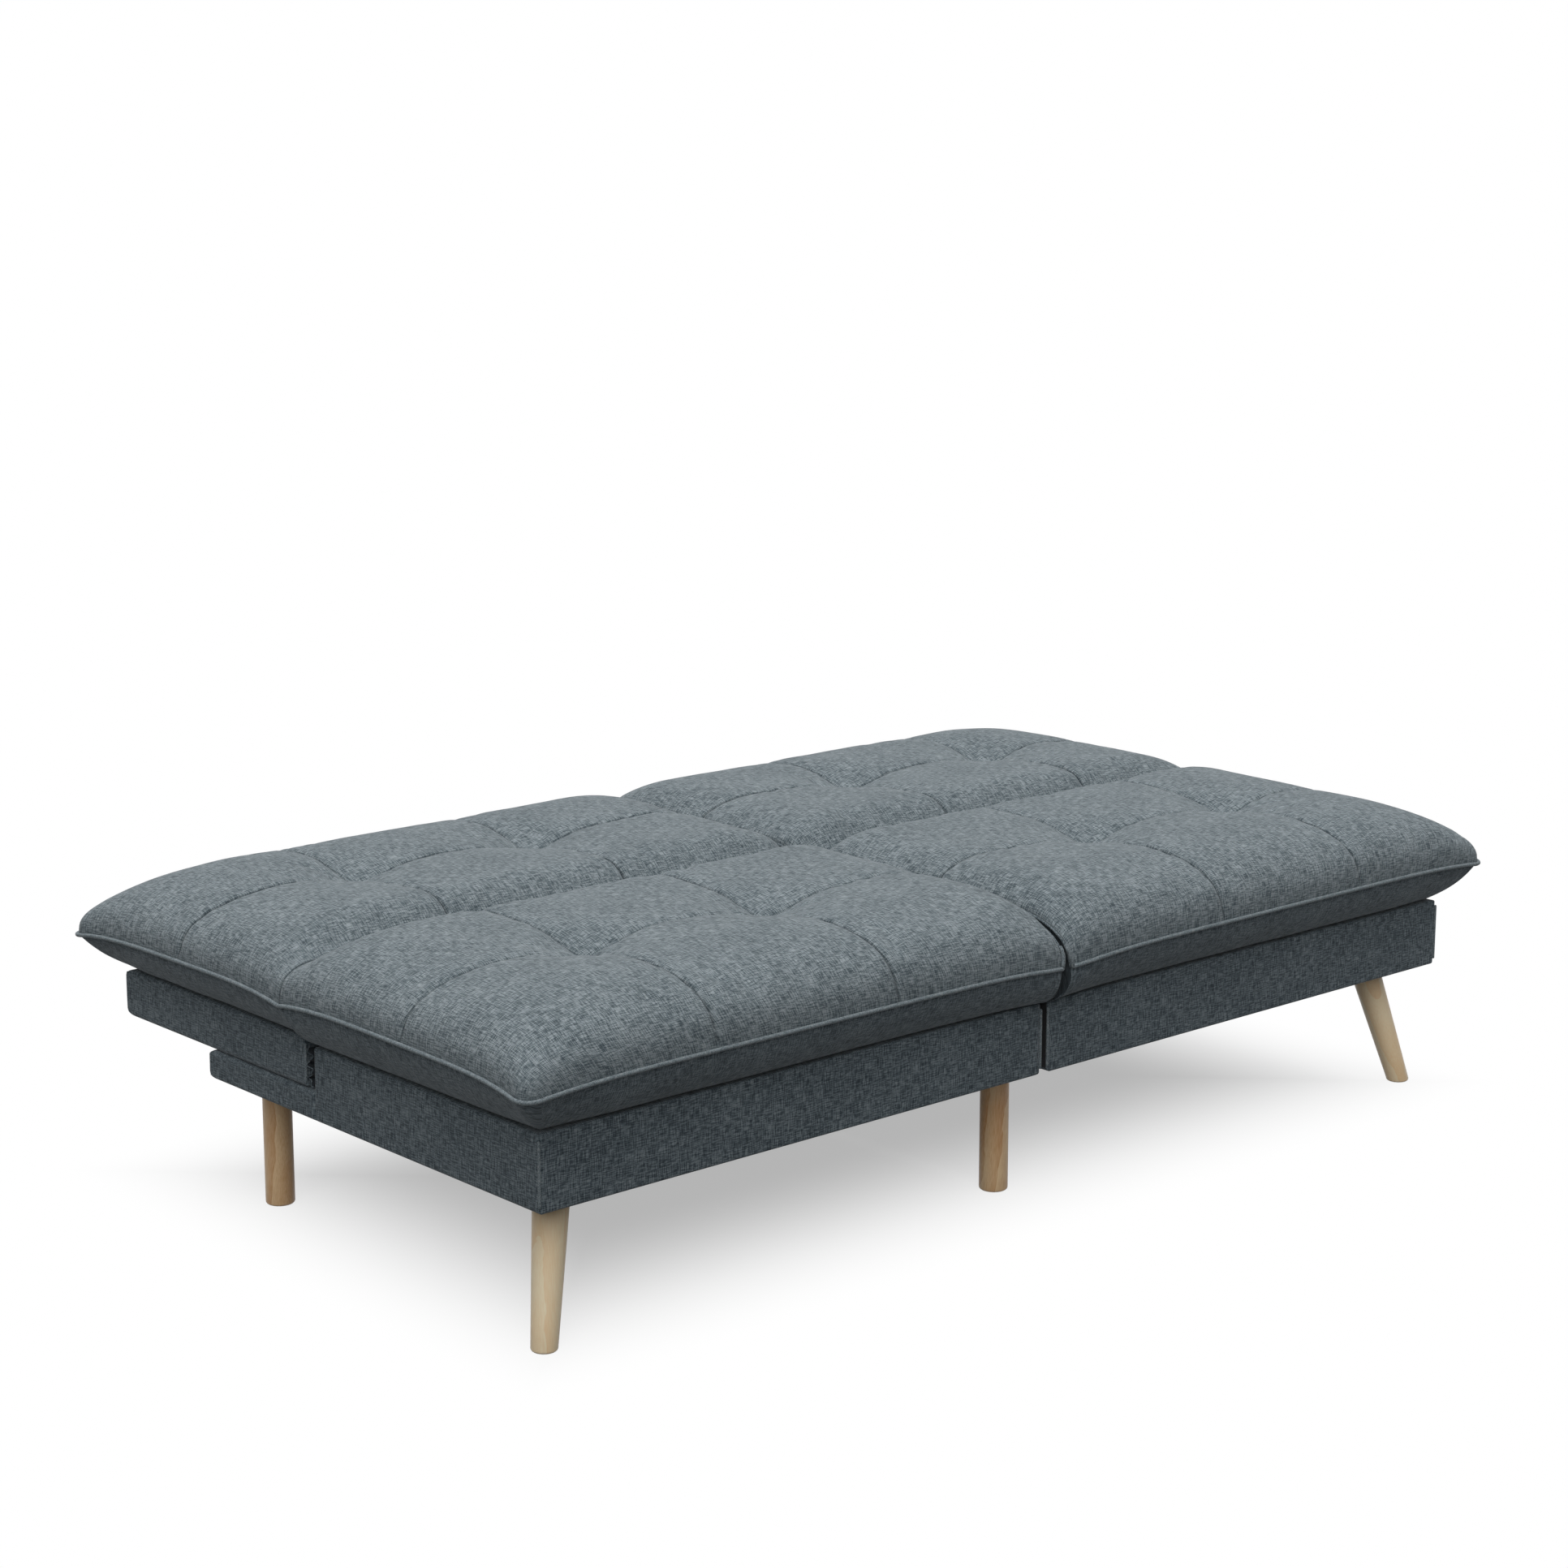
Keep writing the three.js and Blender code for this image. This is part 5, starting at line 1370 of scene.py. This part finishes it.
def make_leg(name, seed):
    """A turned leg: rings on a straight line from the foot's rounded edge to the top, closed by a
    flat foot and a flat top. Its grain lies along it, about a pith outside the leg, which is nearer
    or further and more to one side for each seed."""
    low, high = span(name)
    foot_ring = leg_ring(name, low[2] + LEG_FOOT_ROUND)
    quarter = np.linspace(0, math.pi / 2, LEG_FOOT_ROWS)
    straight = np.linspace(low[2] + LEG_FOOT_ROUND, high[2], LEG_ROWS + 1)[1:]
    upper = np.array([leg_ring(name, z) for z in straight])
    centres = np.concatenate([np.tile(foot_ring[:2], (LEG_FOOT_ROWS + 1, 1)), upper[:, :2],
                              upper[-1:, :2]])
    radii = np.concatenate([[0.0], foot_ring[2] - LEG_FOOT_ROUND * (1 - np.sin(quarter)),
                            upper[:, 2], [0.0]])
    heights = np.concatenate([[low[2]], low[2] + LEG_FOOT_ROUND * (1 - np.cos(quarter)), straight,
                              [high[2]]])
    angle = np.linspace(0, 2 * math.pi, LEG_SIDES + 1)
    around = np.stack([np.cos(angle), np.sin(angle)], -1)
    points = np.concatenate([centres[:, None] + radii[:, None, None] * around,
                             np.repeat(heights[:, None, None], LEG_SIDES + 1, 1)], -1)
    points[:, -1] = points[:, 0]
    # Painted light and shade: the corner legs, which stand out from under the bed, take the paler beech,
    # and the others the darker one.
    timber = beech_painted_lit if "corner" in name else beech_painted_shade
    leg = weld(f"{name}_turned", [(points, points[..., :2])], timber)

    places = places_of(leg.data)
    lean = (leg_ring(name, high[2])[:2] - foot_ring[:2]) / (high[2] - low[2])
    turn = np.random.default_rng(seed).uniform(0, 2 * math.pi)
    c, s = math.cos(turn), math.sin(turn)
    across = (places[:, :2] - foot_ring[:2] - lean * places[:, 2:]) @ np.array([[c, s], [-s, c]])
    across[:, 0] += PITH_AWAY[0] * (0.5 + (seed % 3) * 0.5) - GRAIN_LEAN * places[:, 2]
    across[:, 1] += PITH_AWAY[1] * ((seed * 7) % 5 - 2) / 2
    grain = np.concatenate([across, places[:, 2:] + GRAIN_APART * seed], 1)
    store = leg.data.attributes.new("grain", "FLOAT_VECTOR", "POINT")
    store.data.foreach_set("vector", grain.astype(np.float32).ravel())
    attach(leg, "base")
    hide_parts(name)


# The frame's own nodes

FINISHES = [
    (("slat",), birch_ply),
    (("hinge", "plate", "bolt"), zinc),
]


def finish_frame():
    """Gives each frame node that stays in view its material."""
    for name, piece in NODES.items():
        for words, material in FINISHES:
            if any(word in name for word in words):
                piece.data.materials.clear()
                piece.data.materials.append(material)
                break


# Stage

def make_stage():
    """Studio paper, a wide soft lamp above, a weak one from the camera's side, and a white world."""
    half = FLOOR_SIZE / 2
    mesh = bpy.data.meshes.new("studio_floor")
    mesh.from_pydata([(-half, -half, 0), (half, -half, 0), (half, half, 0), (-half, half, 0)], [],
                     [(0, 1, 2, 3)])
    mesh.materials.append(floor_paper())
    add_object("studio_floor", mesh)

    lamps = [("overhead_lamp", SUN_STRENGTH, SUN_SOFTNESS_DEG, SUN_TILT_DEG),
             ("fill_lamp", FILL_STRENGTH, FILL_SOFTNESS_DEG, FILL_TILT_DEG)]
    for name, strength, softness, tilt in lamps:
        lamp = bpy.data.lights.new(name, "SUN")
        lamp.energy = strength
        lamp.angle = math.radians(softness)
        add_object(name, lamp).rotation_euler = [math.radians(a) for a in tilt]

    world = bpy.data.worlds.new("studio")
    world.use_nodes = True
    tree = world.node_tree
    tree.nodes.clear()
    strength = node(tree, "ShaderNodeMapRange", {
        "Value": seen(tree), "To Min": WORLD_LIGHT, "To Max": 1.0})
    background = node(tree, "ShaderNodeBackground", {
        "Color": linear(WHITE), "Strength": strength.outputs["Result"]})
    node(tree, "ShaderNodeOutputWorld", {"Surface": background.outputs["Background"]})
    bpy.context.scene.world = world
    bpy.context.scene.view_settings.view_transform = "Standard"


def make_camera():
    """The photograph's camera."""
    data = bpy.data.cameras.new("photo_camera")
    data.lens = CAMERA_LENS_MM
    data.sensor_width = CAMERA_SENSOR_MM
    camera = add_object("photo_camera", data)
    camera.location = CAMERA_PLACE
    camera.rotation_euler = (math.radians(CAMERA_TILT_DEG), 0.0, math.radians(CAMERA_TURN_DEG))
    bpy.context.scene.camera = camera


make_camera()
make_stage()
finish_frame()
for half_number, (half_side, half_sign) in enumerate(SIDES.items()):
    half_seed = 100 * (half_number + 1)
    half_rim = make_mattress(half_side, half_sign, half_seed)
    make_piping(half_side, half_sign, half_rim)
    make_frames(half_side, half_sign)
    make_boxes(half_side, half_sign, half_seed + 20)
    make_gap_cloth(half_side, half_sign, half_seed + 40)
    make_lining(half_side, half_sign, half_seed + 60)
follow_covers("middle_rear_bridge_plate", 1, "base", zinc, (("shelf", SHELF),))
for leg_number, leg_name in enumerate([n for n in NODES if n.endswith("_leg")]):
    make_leg(leg_name, leg_number + 1)
